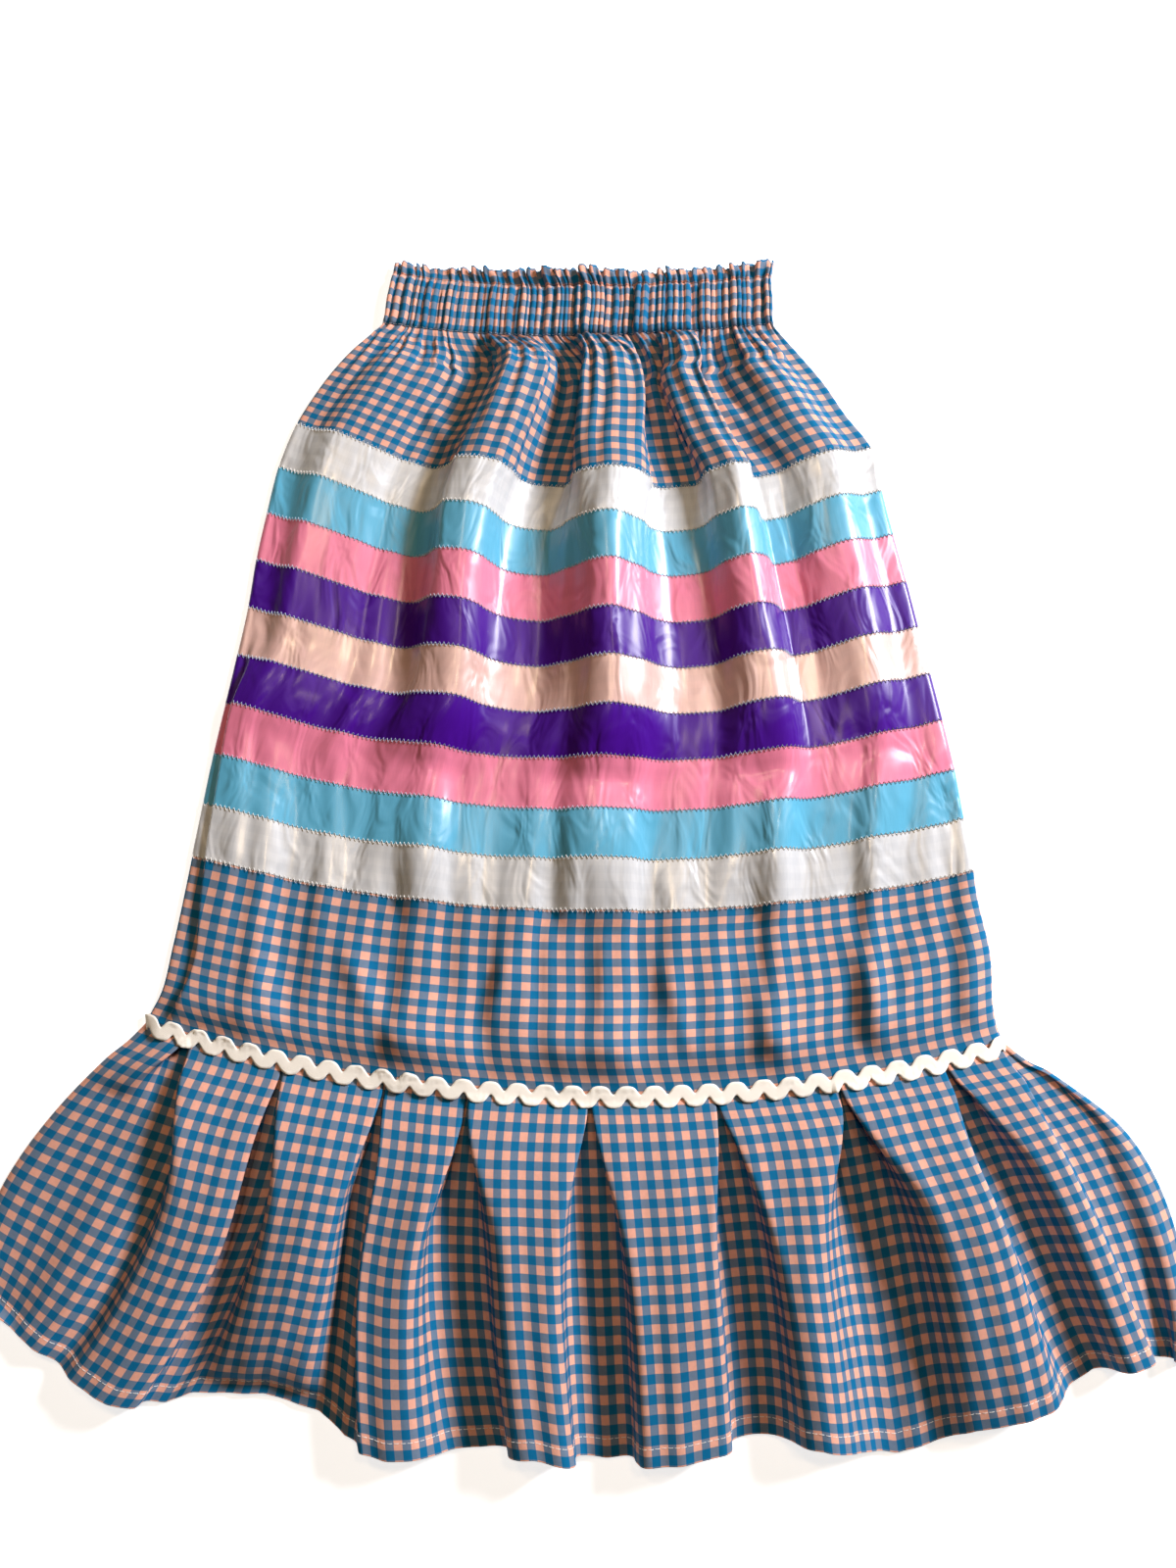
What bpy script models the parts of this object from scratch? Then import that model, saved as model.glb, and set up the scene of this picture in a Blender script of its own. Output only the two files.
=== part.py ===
"""A gathered ribbon skirt lying flat on a table, front side up, waist toward +Y.

Sizes are in millimetres until the points are written, X across the skirt, Y toward the waist.
"""

import math

import bmesh
import bpy
import numpy as np

MM = 0.001
# The tables below are measured from the middle of the waist; the object is centred on the floor.
ORIGIN_X = -7.934
ORIGIN_Y = -8.929

CLOTH_WALL = 1.2
RIBBON_WALL = 1.0
BRAID_WALL = 1.2
CASING_WALL = 1.5
GAP = 0.3
SEAM_GAP = 0.45
COTTON_ROUGHNESS = 0.85
SATIN_ROUGHNESS = 0.35
BRAID_ROUGHNESS = 0.8

# The body: half of the tube's cloth, and how it lies.
PANEL_CLOTH = 570.0
PANEL_COLUMNS = 40
TUCK_PITCH = 2 * PANEL_CLOTH / PANEL_COLUMNS
FRONT_BASE = 4.4
CURVE_POWER = 2.1
LINE_POINTS = 161
CLOTH_STEP = 0.25
STEEPEST_FOLD = 1.5
HALVINGS = 40
WAIST_FLATTENING = 0.35
FOLDS_FADE_FROM, FOLDS_FADE_OVER, FOLDS_FADE_BY = 500.0, 80.0, 0.9

# The ribbons, edge to edge down the body.
RIBBON_PITCH = 38.1
RIBBON_COLORS = ["white", "light_blue", "pink", "purple", "blush", "purple", "pink", "light_blue", "white"]
FIRST_RIBBON = 130.0
RIBBONS_END = FIRST_RIBBON + RIBBON_PITCH * len(RIBBON_COLORS)

# The left side is creased over: a step up beside a narrow strip, then a slow fall.
CREASE_RISE = 3.2
CREASE_FROM, CREASE_OVER = 300.0, 120.0
CREASE_UNTIL, CREASE_OUT_OVER = 575.0, 28.0
CREASE_WIDTH = 2.5
CREASE_FALL_FROM, CREASE_FALL_OVER = 20.0, 90.0
CREASE_MARGIN, CREASE_PACKING = 4.0, 0.5

# The body is lifted by the pleats packed under it at the ruffle seam.
SEAM_LIFT = 3.6
SEAM_EDGE = 24.0
BRAID_EDGE = 13.0
LIFT_FROM, LIFT_OVER = 535.0, 50.0

# The back panel: low folds under the front's, standing on its ribbons and its braid.
BACK_SHARE = 0.42
BACK_WAIST_LOSS, BACK_WAIST_OVER = 0.45, 110.0
BACK_STANDS_FROM, BACK_STANDS_OVER = 60.0, 50.0
BACK_BRAID_FROM = 585.0
BACK_EDGE_INSET = 1.0

# One row per section of the body, from the casing down to the ruffle seam. v is the depth of
# cloth, the two ends are the side edges as laid, dip is how far the middle hangs below them,
# strip is the width left of the side crease, tuck is the slope of the small tucks in radians.
BODY = [
    # v, left_x, left_y, right_x, right_y, dip, strip, tuck
    (0.0, -164.0, 371.5, 148.0, 371.5, 11.5, 4.0, 0.90),
    (12.0, -172.0, 364.0, 155.0, 362.0, 16.0, 4.0, 0.80),
    (36.0, -186.0, 351.0, 169.0, 344.0, 23.0, 4.0, 0.66),
    (66.0, -202.0, 331.0, 186.0, 321.0, 31.0, 4.0, 0.48),
    (98.0, -216.0, 309.0, 202.0, 294.0, 37.0, 4.0, 0.25),
    (130.0, -228.0, 286.0, 221.0, 266.0, 41.0, 4.0, 0.0),
    (168.1, -240.0, 250.0, 227.0, 230.0, 41.0, 4.0, 0.0),
    (206.2, -247.0, 212.0, 234.0, 194.0, 40.5, 4.0, 0.0),
    (244.3, -253.0, 174.0, 242.0, 156.0, 39.0, 4.0, 0.0),
    (282.4, -257.0, 136.0, 249.0, 120.0, 38.0, 4.0, 0.0),
    (320.5, -263.0, 98.5, 256.0, 83.5, 37.0, 4.0, 0.0),
    (358.6, -269.5, 60.5, 263.0, 47.5, 35.5, 4.5, 0.0),
    (396.7, -276.0, 22.5, 269.5, 10.0, 35.0, 6.0, 0.0),
    (434.8, -281.5, -15.0, 274.0, -26.5, 34.0, 7.0, 0.0),
    (472.9, -287.0, -53.5, 279.0, -64.5, 32.5, 9.0, 0.0),
    (490.0, -289.5, -72.0, 280.0, -80.0, 32.5, 11.0, 0.0),
    (535.0, -296.5, -118.0, 287.0, -124.0, 35.0, 20.0, 0.0),
    (580.0, -304.0, -155.0, 287.0, -166.0, 39.0, 12.0, 0.0),
    (593.0, -308.5, -164.0, 289.0, -177.0, 40.5, 8.0, 0.0),
    (603.0, -312.0, -172.0, 293.0, -187.0, 42.0, 6.0, 0.0),
]

# The large folds of the front: where along the cloth each half fold ends, and how steep it is
# beside the others. The sign is the way it runs, up to a ridge or down to a valley.
FOLDS = [
    # end_u, weight
    (-232.0, 0.35),
    (-173.0, -0.35),
    (-113.0, 1.0),
    (-52.0, -1.0),
    (20.0, 1.0),
    (90.0, -1.0),
    (147.0, 0.95),
    (193.0, -0.95),
    (240.0, 0.7),
    (285.0, -0.7),
]
# The columns of the back panel; it rises only at the ridges marked 1.
BACK_COLUMNS = [
    # u, ridge
    (-285.0, 0),
    (-255.0, 0),
    (-225.0, 0),
    (-173.0, 0),
    (-150.0, 0),
    (-113.0, 1),
    (-78.0, 0),
    (-52.0, 0),
    (-22.0, 0),
    (20.0, 1),
    (62.0, 0),
    (90.0, 0),
    (116.0, 0),
    (147.0, 1),
    (174.0, 0),
    (193.0, 0),
    (222.0, 0),
    (246.0, 0),
    (285.0, 0),
]

# The pleats of the ruffle: where each valley between two pleats lies at the seam, at half
# depth and at the hem, and how high the pleat on its right stands at the hem.
PLEATS = [
    # seam_x, mid_x, hem_x, ridge
    (-312.0, -372.0, -418.0, 22.0),
    (-278.0, -297.0, -351.0, 30.0),
    (-212.0, -228.0, -271.0, 27.0),
    (-141.0, -153.0, -160.0, 34.0),
    (-83.0, -90.0, -72.0, 38.0),
    (1.0, 5.0, 12.0, 36.0),
    (88.0, 102.0, 111.0, 36.0),
    (173.0, 187.0, 203.0, 26.0),
    (247.0, 280.0, 329.0, 24.0),
    (289.0, 338.0, 382.0, 14.0),
    (293.0, 368.0, 402.0, 0.0),
]
# The rows of the ruffle: depth below the seam, middle, the rise of the left and right ends above
# it, the power of that rise, and the share of each pleat's height that is reached.
RUFFLE = [
    # v, middle_y, rise_left, rise_right, power, height
    (0.0, -221.8, 49.5, 34.5, 2.0, 0.0),
    (10.0, -231.5, 51.5, 38.0, 2.0, 0.0),
    (45.0, -266.0, 59.0, 51.0, 2.1, 0.30),
    (95.0, -314.0, 69.0, 69.0, 2.3, 0.62),
    (150.0, -367.0, 81.0, 74.0, 2.6, 0.84),
    (205.0, -420.5, 92.0, 69.0, 2.9, 0.98),
    (230.0, -445.0, 97.0, 67.0, 3.0, 1.0),
]
RUFFLE_DEPTH = 230.0
HALF_DEPTH = 95.0
SEAM_BAND = 10.0
PLEAT_DEPTH = 3.6
OPEN_BY = 110.0
# Across one pleat: a foot on the table, a wall up to a shoulder, and a gently rounded top. Each
# width is its size at the seam, its share of the pleat when open, and the most it may take.
FOOT = (1.4, 0.07, 0.20)
WALL = (0.9, 0.17, 0.12)
FOOT_HEIGHT = 0.06
SHOULDER_DROP = 0.28
TOP_DROP = 0.02
TOP_LEFT, TOP_RIGHT = 0.38, 0.62
# The first pleat rises slowly from the side edge, and the last one falls to it.
FIRST_RISE, FIRST_RISE_OPEN, FIRST_HEIGHT = 8.0, 4.0, 0.4
FIRST_TOP = [(0.3, 0.8), (0.45, 1.0), (0.65, 1.0)]
LAST_FALL = (0.72, 0.8)
LAST_SEAM_SHARE = 0.5
# The back ruffle: one low wave under each pleat.
BACK_PLEAT_SHARE = 0.38
BACK_WAVE = [(0.27, 0.25), (0.5, 1.0), (0.73, 0.25)]
BACK_RUFFLE_INSET = 2.0

# The elastic casing and the ragged heading above it.
CASING_WAVES = 62
CASING_FRONT_CREST = 6.5
CASING_BACK_CREST = 0.1
CASING_RELIEF = 1.5
CASING_TOP = [(-157.0, 415.5), (-79.0, 407.5), (0.0, 403.5), (79.0, 405.5), (147.0, 413.0)]
CASING_TOP_GAP = 0.006
FRILL_TOP = [(-156.0, 426.0), (-79.0, 419.0), (0.0, 413.0), (79.0, 416.0), (150.0, 426.5)]
FRONT_FRILL_WAVES, FRONT_FRILL_BASE, FRONT_FRILL_RISE = 30, 4.6, 4.0
BACK_FRILL_WAVES, BACK_FRILL_BASE, BACK_FRILL_RISE = 24, 1.7, 1.6
# up the heading: the share of its height, and of its wave
FRILL_SHAPE = [(1.0, 1.0), (0.45, 0.8), (0.02, 0.45)]
FRILL_RAGGED, FRILL_RAGGED_RATE = 1.6, 97.0

BRAID_WAVE = 18.85
BRAID_SWING = 3.39
BRAID_HALF_BAND = 4.4
BRAID_CLEARANCE = 0.7
BRAID_FRONT_INSET, BRAID_BACK_INSET = 1.0, 3.0

COLORS = {
    "gingham": (0.32, 0.36, 0.46, 1.0),
    "white": (0.86, 0.85, 0.84, 1.0),
    "light_blue": (0.25, 0.58, 0.68, 1.0),
    "pink": (0.86, 0.36, 0.48, 1.0),
    "purple": (0.10, 0.02, 0.30, 1.0),
    "blush": (0.84, 0.66, 0.62, 1.0),
    "cream": (0.86, 0.83, 0.76, 1.0),
}


def ease(t):
    t = np.clip(t, 0.0, 1.0)
    return t * t * (3 - 2 * t)


def arc_line(points):
    """The points of a plan curve and the distance along it at each."""
    steps = np.hypot(*np.diff(points, axis=0).T)
    return points, np.concatenate([[0.0], np.cumsum(steps)])


def along(line, distance):
    points, run = line
    return np.stack([np.interp(distance, run, points[:, 0]), np.interp(distance, run, points[:, 1])], axis=-1)


def body_line(row):
    _, left_x, left_y, right_x, right_y, dip, _, _ = row
    t = np.linspace(0, 1, LINE_POINTS)
    x = left_x + (right_x - left_x) * t
    y = left_y + (right_y - left_y) * t - dip * (1 - np.abs(2 * t - 1) ** CURVE_POWER)
    return arc_line(np.stack([x, y], axis=1))


def fold_slope(u):
    """The direction of the cloth across the large folds, before it is scaled to the row."""
    slope = np.zeros_like(u)
    start = -PANEL_CLOTH / 2
    for end, weight in FOLDS:
        inside = (u >= start) & (u < end)
        slope = np.where(inside, weight * np.sin(math.pi * (u - start) / (end - start)), slope)
        start = end
    return slope


def body_row(row):
    """Where the cloth of one row lies: its line, then u, distance along it and height, finely."""
    v, tuck = row[0], row[7]
    line = body_line(row)
    length = line[1][-1]
    half = max(PANEL_CLOTH, length + 2) / 2
    u = np.linspace(-half, half, round(PANEL_CLOTH / CLOTH_STEP) + 1)
    tucks = tuck * np.sin(2 * math.pi * u / TUCK_PITCH)
    low, high = 0.0, STEEPEST_FOLD
    for _ in range(HALVINGS):
        scale = (low + high) / 2
        angle = scale * fold_slope(u) + tucks
        run = np.concatenate([[0.0], np.cumsum(np.cos(angle[:-1]) * np.diff(u))])
        if run[-1] > length:
            low = scale
        else:
            high = scale
    run *= length / run[-1]
    height = np.concatenate([[0.0], np.cumsum(np.sin(angle[:-1]) * np.diff(u))])
    height -= height[-1] * (u - u[0]) / (u[-1] - u[0])
    faded = 1 - FOLDS_FADE_BY * ease((v - FOLDS_FADE_FROM) / FOLDS_FADE_OVER)
    return line, u, run, np.maximum(height, 0.0) * float(faded)


def step_up(v, strip, run):
    """The small step where the left side is creased over, as a height along the row."""
    creased = ease((v - CREASE_FROM) / CREASE_OVER) * (1 - ease((v - CREASE_UNTIL) / CREASE_OUT_OVER))
    beside = run - strip
    return CREASE_RISE * float(creased) * ease(beside / CREASE_WIDTH) * (
        1 - ease((beside - CREASE_FALL_FROM) / CREASE_FALL_OVER)
    )


def seam_height(run, length, v, edge_width):
    edge = ease(np.minimum(run, length - run) / edge_width)
    return SEAM_LIFT * edge * float(ease((v - LIFT_FROM) / LIFT_OVER))


def front_row(row):
    """One row of the front panel: the strip beside the crease, then its even columns of cloth."""
    line, u, run, height = body_row(row)
    v, strip = row[0], row[6]
    length = line[1][-1]
    columns = np.linspace(u[0], u[-1], PANEL_COLUMNS + 1)[1:]
    at_run = np.interp(columns, u, run)
    at_height = np.interp(columns, u, height)
    packed = strip + CREASE_MARGIN + np.arange(PANEL_COLUMNS) * CREASE_PACKING
    at_run = np.where(at_run > strip + CREASE_MARGIN, at_run, packed)
    edge_run = np.array([0.0, strip, strip + CREASE_WIDTH])
    all_run = np.concatenate([edge_run, at_run])
    all_height = np.concatenate([np.interp(edge_run, run, height), at_height])
    if v == 0.0:
        all_height = all_height * WAIST_FLATTENING
    z = FRONT_BASE + all_height + step_up(v, strip, all_run) + seam_height(all_run, length, v, SEAM_EDGE)
    return np.column_stack([along(line, all_run), z])


def back_lift(v):
    """How far the back panel stands off the table."""
    if v >= BACK_BRAID_FROM:
        return BRAID_WALL + GAP
    if v > RIBBONS_END + 1:
        return 0.0
    return (RIBBON_WALL + GAP) * float(ease((v - BACK_STANDS_FROM) / BACK_STANDS_OVER))


def back_row(row):
    line, u, run, height = body_row(row)
    v = row[0]
    columns, ridges = np.array(BACK_COLUMNS).T
    columns = columns * (u[-1] / (PANEL_CLOTH / 2))
    keep = BACK_SHARE * float(1 - BACK_WAIST_LOSS * (1 - ease(v / BACK_WAIST_OVER)))
    points = along(line, np.interp(columns, u, run))
    points[-1, 0] -= BACK_EDGE_INSET
    return np.column_stack([points, back_lift(v) + np.interp(columns, u, height) * keep * ridges])


def ruffle_line(row):
    """The plan line of one ruffle row and where the pleat valleys fall along it."""
    v, middle, rise_left, rise_right, power, _ = row
    seam_x, mid_x, hem_x, _ = np.array(PLEATS).T
    t, m = v / RUFFLE_DEPTH, HALF_DEPTH / RUFFLE_DEPTH
    bend = (mid_x - seam_x - (hem_x - seam_x) * m) / (m * (1 - m))
    xs = seam_x + (hem_x - seam_x) * t + bend * t * (1 - t)
    left, right = xs[0], xs[-1]
    x = np.linspace(left, right, 2 * LINE_POINTS - 1)
    y = middle + np.where(x < 0, rise_left * np.abs(x / left) ** power, rise_right * np.abs(x / right) ** power)
    if v <= SEAM_BAND:
        seam, _ = body_line(BODY[-1])
        y = np.interp(np.linspace(seam[0, 0], seam[-1, 0], len(x)), seam[:, 0], seam[:, 1]) - SEAM_GAP - v
    line = arc_line(np.stack([x, y], axis=1))
    return line, np.interp(xs, x, line[1])


def pleat_places(index, left, right, ridge, opened):
    """Points across one pleat, after the valley on its left: (distance along the row, height)."""
    width = right - left
    foot, wall = (min(width * most, size + opened * share * width) for size, share, most in (FOOT, WALL))
    low, shoulder = FOOT_HEIGHT * opened * ridge, ridge * (1 - SHOULDER_DROP * opened)
    places = [
        (left + foot, low),
        (left + foot + wall, shoulder),
        (left + width * TOP_LEFT, ridge * (1 - TOP_DROP * opened)),
        (left + width * TOP_RIGHT, ridge),
        (right - foot - wall, shoulder),
        (right - foot, low),
        (right, 0.0),
    ]
    if index == 0:
        start = (left + FIRST_RISE + FIRST_RISE_OPEN * opened, ridge * FIRST_HEIGHT)
        places[:4] = [start] + [(left + share * width, ridge * tall) for share, tall in FIRST_TOP]
    if index == len(PLEATS) - 2:
        places[3:] = [(left + LAST_FALL[0] * width, ridge * LAST_FALL[1]), (right, 0.0)]
    return places


def ruffle_front_row(row):
    """One row of the front ruffle: a narrow groove between pleats at the seam, waves at the hem."""
    v, height_share = row[0], row[5]
    line, valleys = ruffle_line(row)
    opened = float(ease(v / OPEN_BY))
    places = [(0.0, 0.0)]
    last = len(PLEATS) - 2
    for index in range(last + 1):
        tall = PLEATS[index][3]
        ridge = PLEAT_DEPTH + (tall - PLEAT_DEPTH) * height_share
        if index == last:
            ridge = PLEAT_DEPTH * LAST_SEAM_SHARE + tall * height_share
        places += pleat_places(index, valleys[index], valleys[index + 1], ridge, opened)
    run, height = np.array(places).T
    if v <= SEAM_BAND:
        height = height * ease(np.minimum(run, line[1][-1] - run) / SEAM_EDGE)
    return np.column_stack([along(line, run), FRONT_BASE + height])


def ruffle_back_row(row):
    """One row of the back ruffle, which lies on the table with low folds under the front's."""
    v, height_share = row[0], row[5]
    line, valleys = ruffle_line(row)
    places = [(BACK_RUFFLE_INSET, 0.0)]
    last = len(PLEATS) - 2
    for index in range(last + 1):
        left, right = valleys[index], valleys[index + 1]
        tall = BACK_PLEAT_SHARE * PLEATS[index][3] * height_share if index < last else 0.0
        places += [(left + share * (right - left), part * tall) for share, part in BACK_WAVE]
        places.append((right if index < last else line[1][-1] - BACK_RUFFLE_INSET, 0.0))
    run, height = np.array(places).T
    under = BRAID_WALL + GAP if v <= SEAM_BAND else 0.0
    return np.column_stack([along(line, run), under + height])


def row_normals(rows):
    """The average upward direction of the sheet at each of its points."""
    grid = np.array(rows)
    normal = np.cross(np.gradient(grid, axis=0), np.gradient(grid, axis=1))
    normal /= np.linalg.norm(normal, axis=2, keepdims=True)
    return normal * np.where(normal[:, :, 2:3] < 0, -1, 1)


def ribbon_rows(rows, outward, top):
    """The two edges of a ribbon on the sheet between two of its rows, moved out from it."""
    inset = GAP / 2 / RIBBON_PITCH
    lift = GAP + RIBBON_WALL
    upper = rows[top] + (rows[top + 1] - rows[top]) * inset + outward[top] * lift
    lower = rows[top + 1] + (rows[top] - rows[top + 1]) * inset + outward[top + 1] * lift
    return [upper, lower]


def braid_rows(line, inset, height):
    """The two edges of the wavy braid along the seam line, two points up and two down."""
    length = line[1][-1]
    count = round((length - 2 * inset) / BRAID_WAVE) * 4
    run = np.linspace(inset, length - inset, count + 1)
    wave = BRAID_SWING * np.where(np.arange(count + 1) // 2 % 2 == 0, 1, -1)
    middle = along(line, run)
    rows = []
    for half in (BRAID_HALF_BAND, -BRAID_HALF_BAND):
        rows.append(np.column_stack([middle[:, 0], middle[:, 1] + wave + half, height(run)]))
    return rows


def curve_through(points, t):
    """A smooth curve through the points of a short table, each point a fixed share along it."""
    points = np.array(points)
    share = np.linspace(0, 1, len(points))
    slope = np.gradient(points, share, axis=0)
    index = np.clip(np.searchsorted(share, t, side="right") - 1, 0, len(points) - 2)
    span = share[1] - share[0]
    f = ((t - share[index]) / span)[:, None]
    a, b = points[index], points[index + 1]
    ta, tb = slope[index] * span, slope[index + 1] * span
    start = a * (2 * f**3 - 3 * f**2 + 1) + ta * (f**3 - 2 * f**2 + f)
    return start + b * (3 * f**2 - 2 * f**3) + tb * (f**3 - f**2)


def casing_rows(crest, inward):
    """The top and the foot of half of the casing, gathered into even narrow waves."""
    t = np.linspace(0, 1, CASING_WAVES * 2 + 1)
    waist = body_line(BODY[0])
    foot = along(waist, t * waist[1][-1]) + np.array([0.0, SEAM_GAP])
    top = curve_through(CASING_TOP, t)
    top = top + (foot - top) * CASING_TOP_GAP
    z = crest + inward * CASING_RELIEF * (np.arange(len(t)) % 2)
    return [np.column_stack([plan, z]) for plan in (top, foot)]


def frill_rows(waves, base, rise):
    """The heading above the casing, waving more toward its ragged free edge."""
    t = np.linspace(0, 1, waves * 2 + 1)
    bottom = curve_through(CASING_TOP, t)
    top = curve_through(FRILL_TOP, t)
    wave = np.arange(len(t)) % 2
    ragged = np.stack([0 * t, FRILL_RAGGED * np.sin(t * FRILL_RAGGED_RATE)], axis=1)
    rows = []
    for share, swing in FRILL_SHAPE:
        plan = bottom + (top - bottom) * share + (ragged if share == 1.0 else 0.0)
        rows.append(np.column_stack([plan, base + rise * swing * wave]))
    return rows


def add_sheet(name, rows, wall, upward, color, roughness):
    """A sheet through the rows of points, given its wall by Solidify on the inner side."""
    columns = len(rows[0])
    mesh = bmesh.new()
    bmesh.ops.create_grid(mesh, x_segments=columns - 1, y_segments=len(rows) - 1, size=1.0)
    mesh.verts.ensure_lookup_table()
    table = np.array([vert.co for vert in mesh.verts])
    order = np.lexsort((table[:, 0], -table[:, 1]))
    for place, index in enumerate(order):
        x, y, z = rows[place // columns][place % columns]
        mesh.verts[index].co = ((x - ORIGIN_X) * MM, (y - ORIGIN_Y) * MM, z * MM)
    bmesh.ops.triangulate(mesh, faces=mesh.faces[:], quad_method="FIXED")
    if not upward:
        bmesh.ops.reverse_faces(mesh, faces=mesh.faces[:])
    data = bpy.data.meshes.new(name)
    mesh.to_mesh(data)
    mesh.free()
    obj = bpy.data.objects.new(name, data)
    shell = obj.modifiers.new("cloth_wall", "SOLIDIFY")
    shell.thickness = wall * MM
    shell.offset = -1.0
    shell.use_even_offset = False
    shell.use_quality_normals = False
    skirt.objects.link(obj)
    material = bpy.data.materials.new(name)
    material.use_nodes = True
    shader = material.node_tree.nodes["Principled BSDF"]
    shader.inputs["Base Color"].default_value = COLORS[color]
    shader.inputs["Roughness"].default_value = roughness
    data.materials.append(material)


for existing in list(bpy.data.objects):
    bpy.data.objects.remove(existing, do_unlink=True)
skirt = bpy.data.collections.new("skirt")
bpy.context.scene.collection.children.link(skirt)

front_panel = [front_row(row) for row in BODY]
back_panel = [back_row(row) for row in BODY]
add_sheet("front_panel", front_panel, CLOTH_WALL, True, "gingham", COTTON_ROUGHNESS)
add_sheet("back_panel", back_panel, CLOTH_WALL, False, "gingham", COTTON_ROUGHNESS)

first_row = [row[0] for row in BODY].index(FIRST_RIBBON)
front_outward = row_normals(front_panel)
back_outward = -row_normals(back_panel)
for index, color in enumerate(RIBBON_COLORS):
    front_ribbon = ribbon_rows(front_panel, front_outward, first_row + index)
    back_ribbon = ribbon_rows(back_panel, back_outward, first_row + index)
    add_sheet(f"ribbon_front_{index + 1}", front_ribbon, RIBBON_WALL, True, color, SATIN_ROUGHNESS)
    add_sheet(f"ribbon_back_{index + 1}", back_ribbon, RIBBON_WALL, False, color, SATIN_ROUGHNESS)

front_ruffle = [ruffle_front_row(row) for row in RUFFLE]
back_ruffle = [ruffle_back_row(row) for row in RUFFLE]
add_sheet("ruffle_front", front_ruffle, CLOTH_WALL, True, "gingham", COTTON_ROUGHNESS)
add_sheet("ruffle_back", back_ruffle, CLOTH_WALL, False, "gingham", COTTON_ROUGHNESS)

seam = body_line(BODY[-1])
seam_length = seam[1][-1]
seam_depth = BODY[-1][0]


def front_braid_height(run):
    lifted = seam_height(run, seam_length, seam_depth, BRAID_EDGE)
    return FRONT_BASE + BRAID_CLEARANCE + BRAID_WALL + GAP + lifted


front_braid = braid_rows(seam, BRAID_FRONT_INSET, front_braid_height)
back_braid = braid_rows(seam, BRAID_BACK_INSET, np.zeros_like)
add_sheet("rickrack_front", front_braid, BRAID_WALL, True, "cream", BRAID_ROUGHNESS)
add_sheet("rickrack_back", back_braid, BRAID_WALL, False, "cream", BRAID_ROUGHNESS)

front_casing = casing_rows(CASING_FRONT_CREST, -1)
back_casing = casing_rows(CASING_BACK_CREST, 1)
add_sheet("waist_casing_front", front_casing, CASING_WALL, True, "gingham", COTTON_ROUGHNESS)
add_sheet("waist_casing_back", back_casing, CASING_WALL, False, "gingham", COTTON_ROUGHNESS)

front_frill = frill_rows(FRONT_FRILL_WAVES, FRONT_FRILL_BASE, FRONT_FRILL_RISE)
back_frill = frill_rows(BACK_FRILL_WAVES, BACK_FRILL_BASE, -BACK_FRILL_RISE)
add_sheet("waist_frill_front", front_frill, CLOTH_WALL, True, "gingham", COTTON_ROUGHNESS)
add_sheet("waist_frill_back", back_frill, CLOTH_WALL, False, "gingham", COTTON_ROUGHNESS)
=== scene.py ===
import math

import bmesh
import bpy
import numpy as np
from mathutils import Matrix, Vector


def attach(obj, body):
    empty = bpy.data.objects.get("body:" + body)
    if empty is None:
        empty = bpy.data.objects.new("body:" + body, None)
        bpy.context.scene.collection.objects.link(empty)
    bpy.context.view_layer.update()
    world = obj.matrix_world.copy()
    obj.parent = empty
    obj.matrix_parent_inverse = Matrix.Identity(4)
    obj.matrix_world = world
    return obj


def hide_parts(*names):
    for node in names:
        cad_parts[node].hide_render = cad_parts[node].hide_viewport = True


# A ribbon skirt lying flat on a table. Every cloth piece starts as its flat cut, with u across and
# v down the cloth in millimetres, and is moved to where that cloth lies. Lengths are in
# millimetres and angles in radians; points are written in metres in the CAD's frame.

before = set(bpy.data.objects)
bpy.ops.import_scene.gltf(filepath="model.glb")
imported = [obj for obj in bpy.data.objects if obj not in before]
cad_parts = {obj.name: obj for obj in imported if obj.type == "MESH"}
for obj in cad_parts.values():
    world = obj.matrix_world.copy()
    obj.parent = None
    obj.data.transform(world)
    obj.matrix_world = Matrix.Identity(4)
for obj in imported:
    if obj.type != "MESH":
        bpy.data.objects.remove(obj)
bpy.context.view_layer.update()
print("frame loaded")

mm = 0.001
originX = -7.934  # the CAD's origin, measured from the middle of the waist
originY = -8.929
halvings = 32  # steps that fit a row of cloth to its width


def ease(t):
    t = np.clip(t, 0.0, 1.0)
    return t * t * (3 - 2 * t)


def smoothAt(xs, ys, x):
    # a smooth curve through a short table
    xs, ys = np.asarray(xs, float), np.asarray(ys, float)
    slope = np.gradient(ys, xs)
    i = int(np.clip(np.searchsorted(xs, x, side="right") - 1, 0, len(xs) - 2))
    h = xs[i + 1] - xs[i]
    f = float(np.clip((x - xs[i]) / h, 0, 1))
    return (
        ys[i] * (2 * f**3 - 3 * f**2 + 1)
        + slope[i] * h * (f**3 - 2 * f**2 + f)
        + ys[i + 1] * (3 * f**2 - 2 * f**3)
        + slope[i + 1] * h * (f**3 - f**2)
    )


def columnsAt(table, names, v):
    return [smoothAt(table["v"], table[name], v) for name in names]


def unevenness(x, seed, spacing):
    # a smooth random line of about unit height, the same each run
    rng = np.random.default_rng(seed)
    total = np.zeros_like(x, dtype=float)
    for octave in range(4):
        wave = spacing * (1.7 ** (1 - octave))
        height = rng.uniform(0.5, 1.0)
        total += height * np.sin(2 * math.pi * x / wave + rng.uniform(0, 6.28)) / (1 + 0.5 * octave)
    return total / 1.6


# how unevenly the cloth lies: seed, height and spacing of each wandering line
wander = {
    "gatherPlace": (3, 3.6, 45),
    "gatherNudge": (4, 1.0, 19),
    "gatherDepth": (5, 0.34, 31),
    "tuckPlace": (7, 6.0, 83),
    "tuckReach": (11, 0.70, 47),
    "headingEdge": (21, 1.6, 9),
    "headingSway": (22, 1.0, 37),
}


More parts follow.
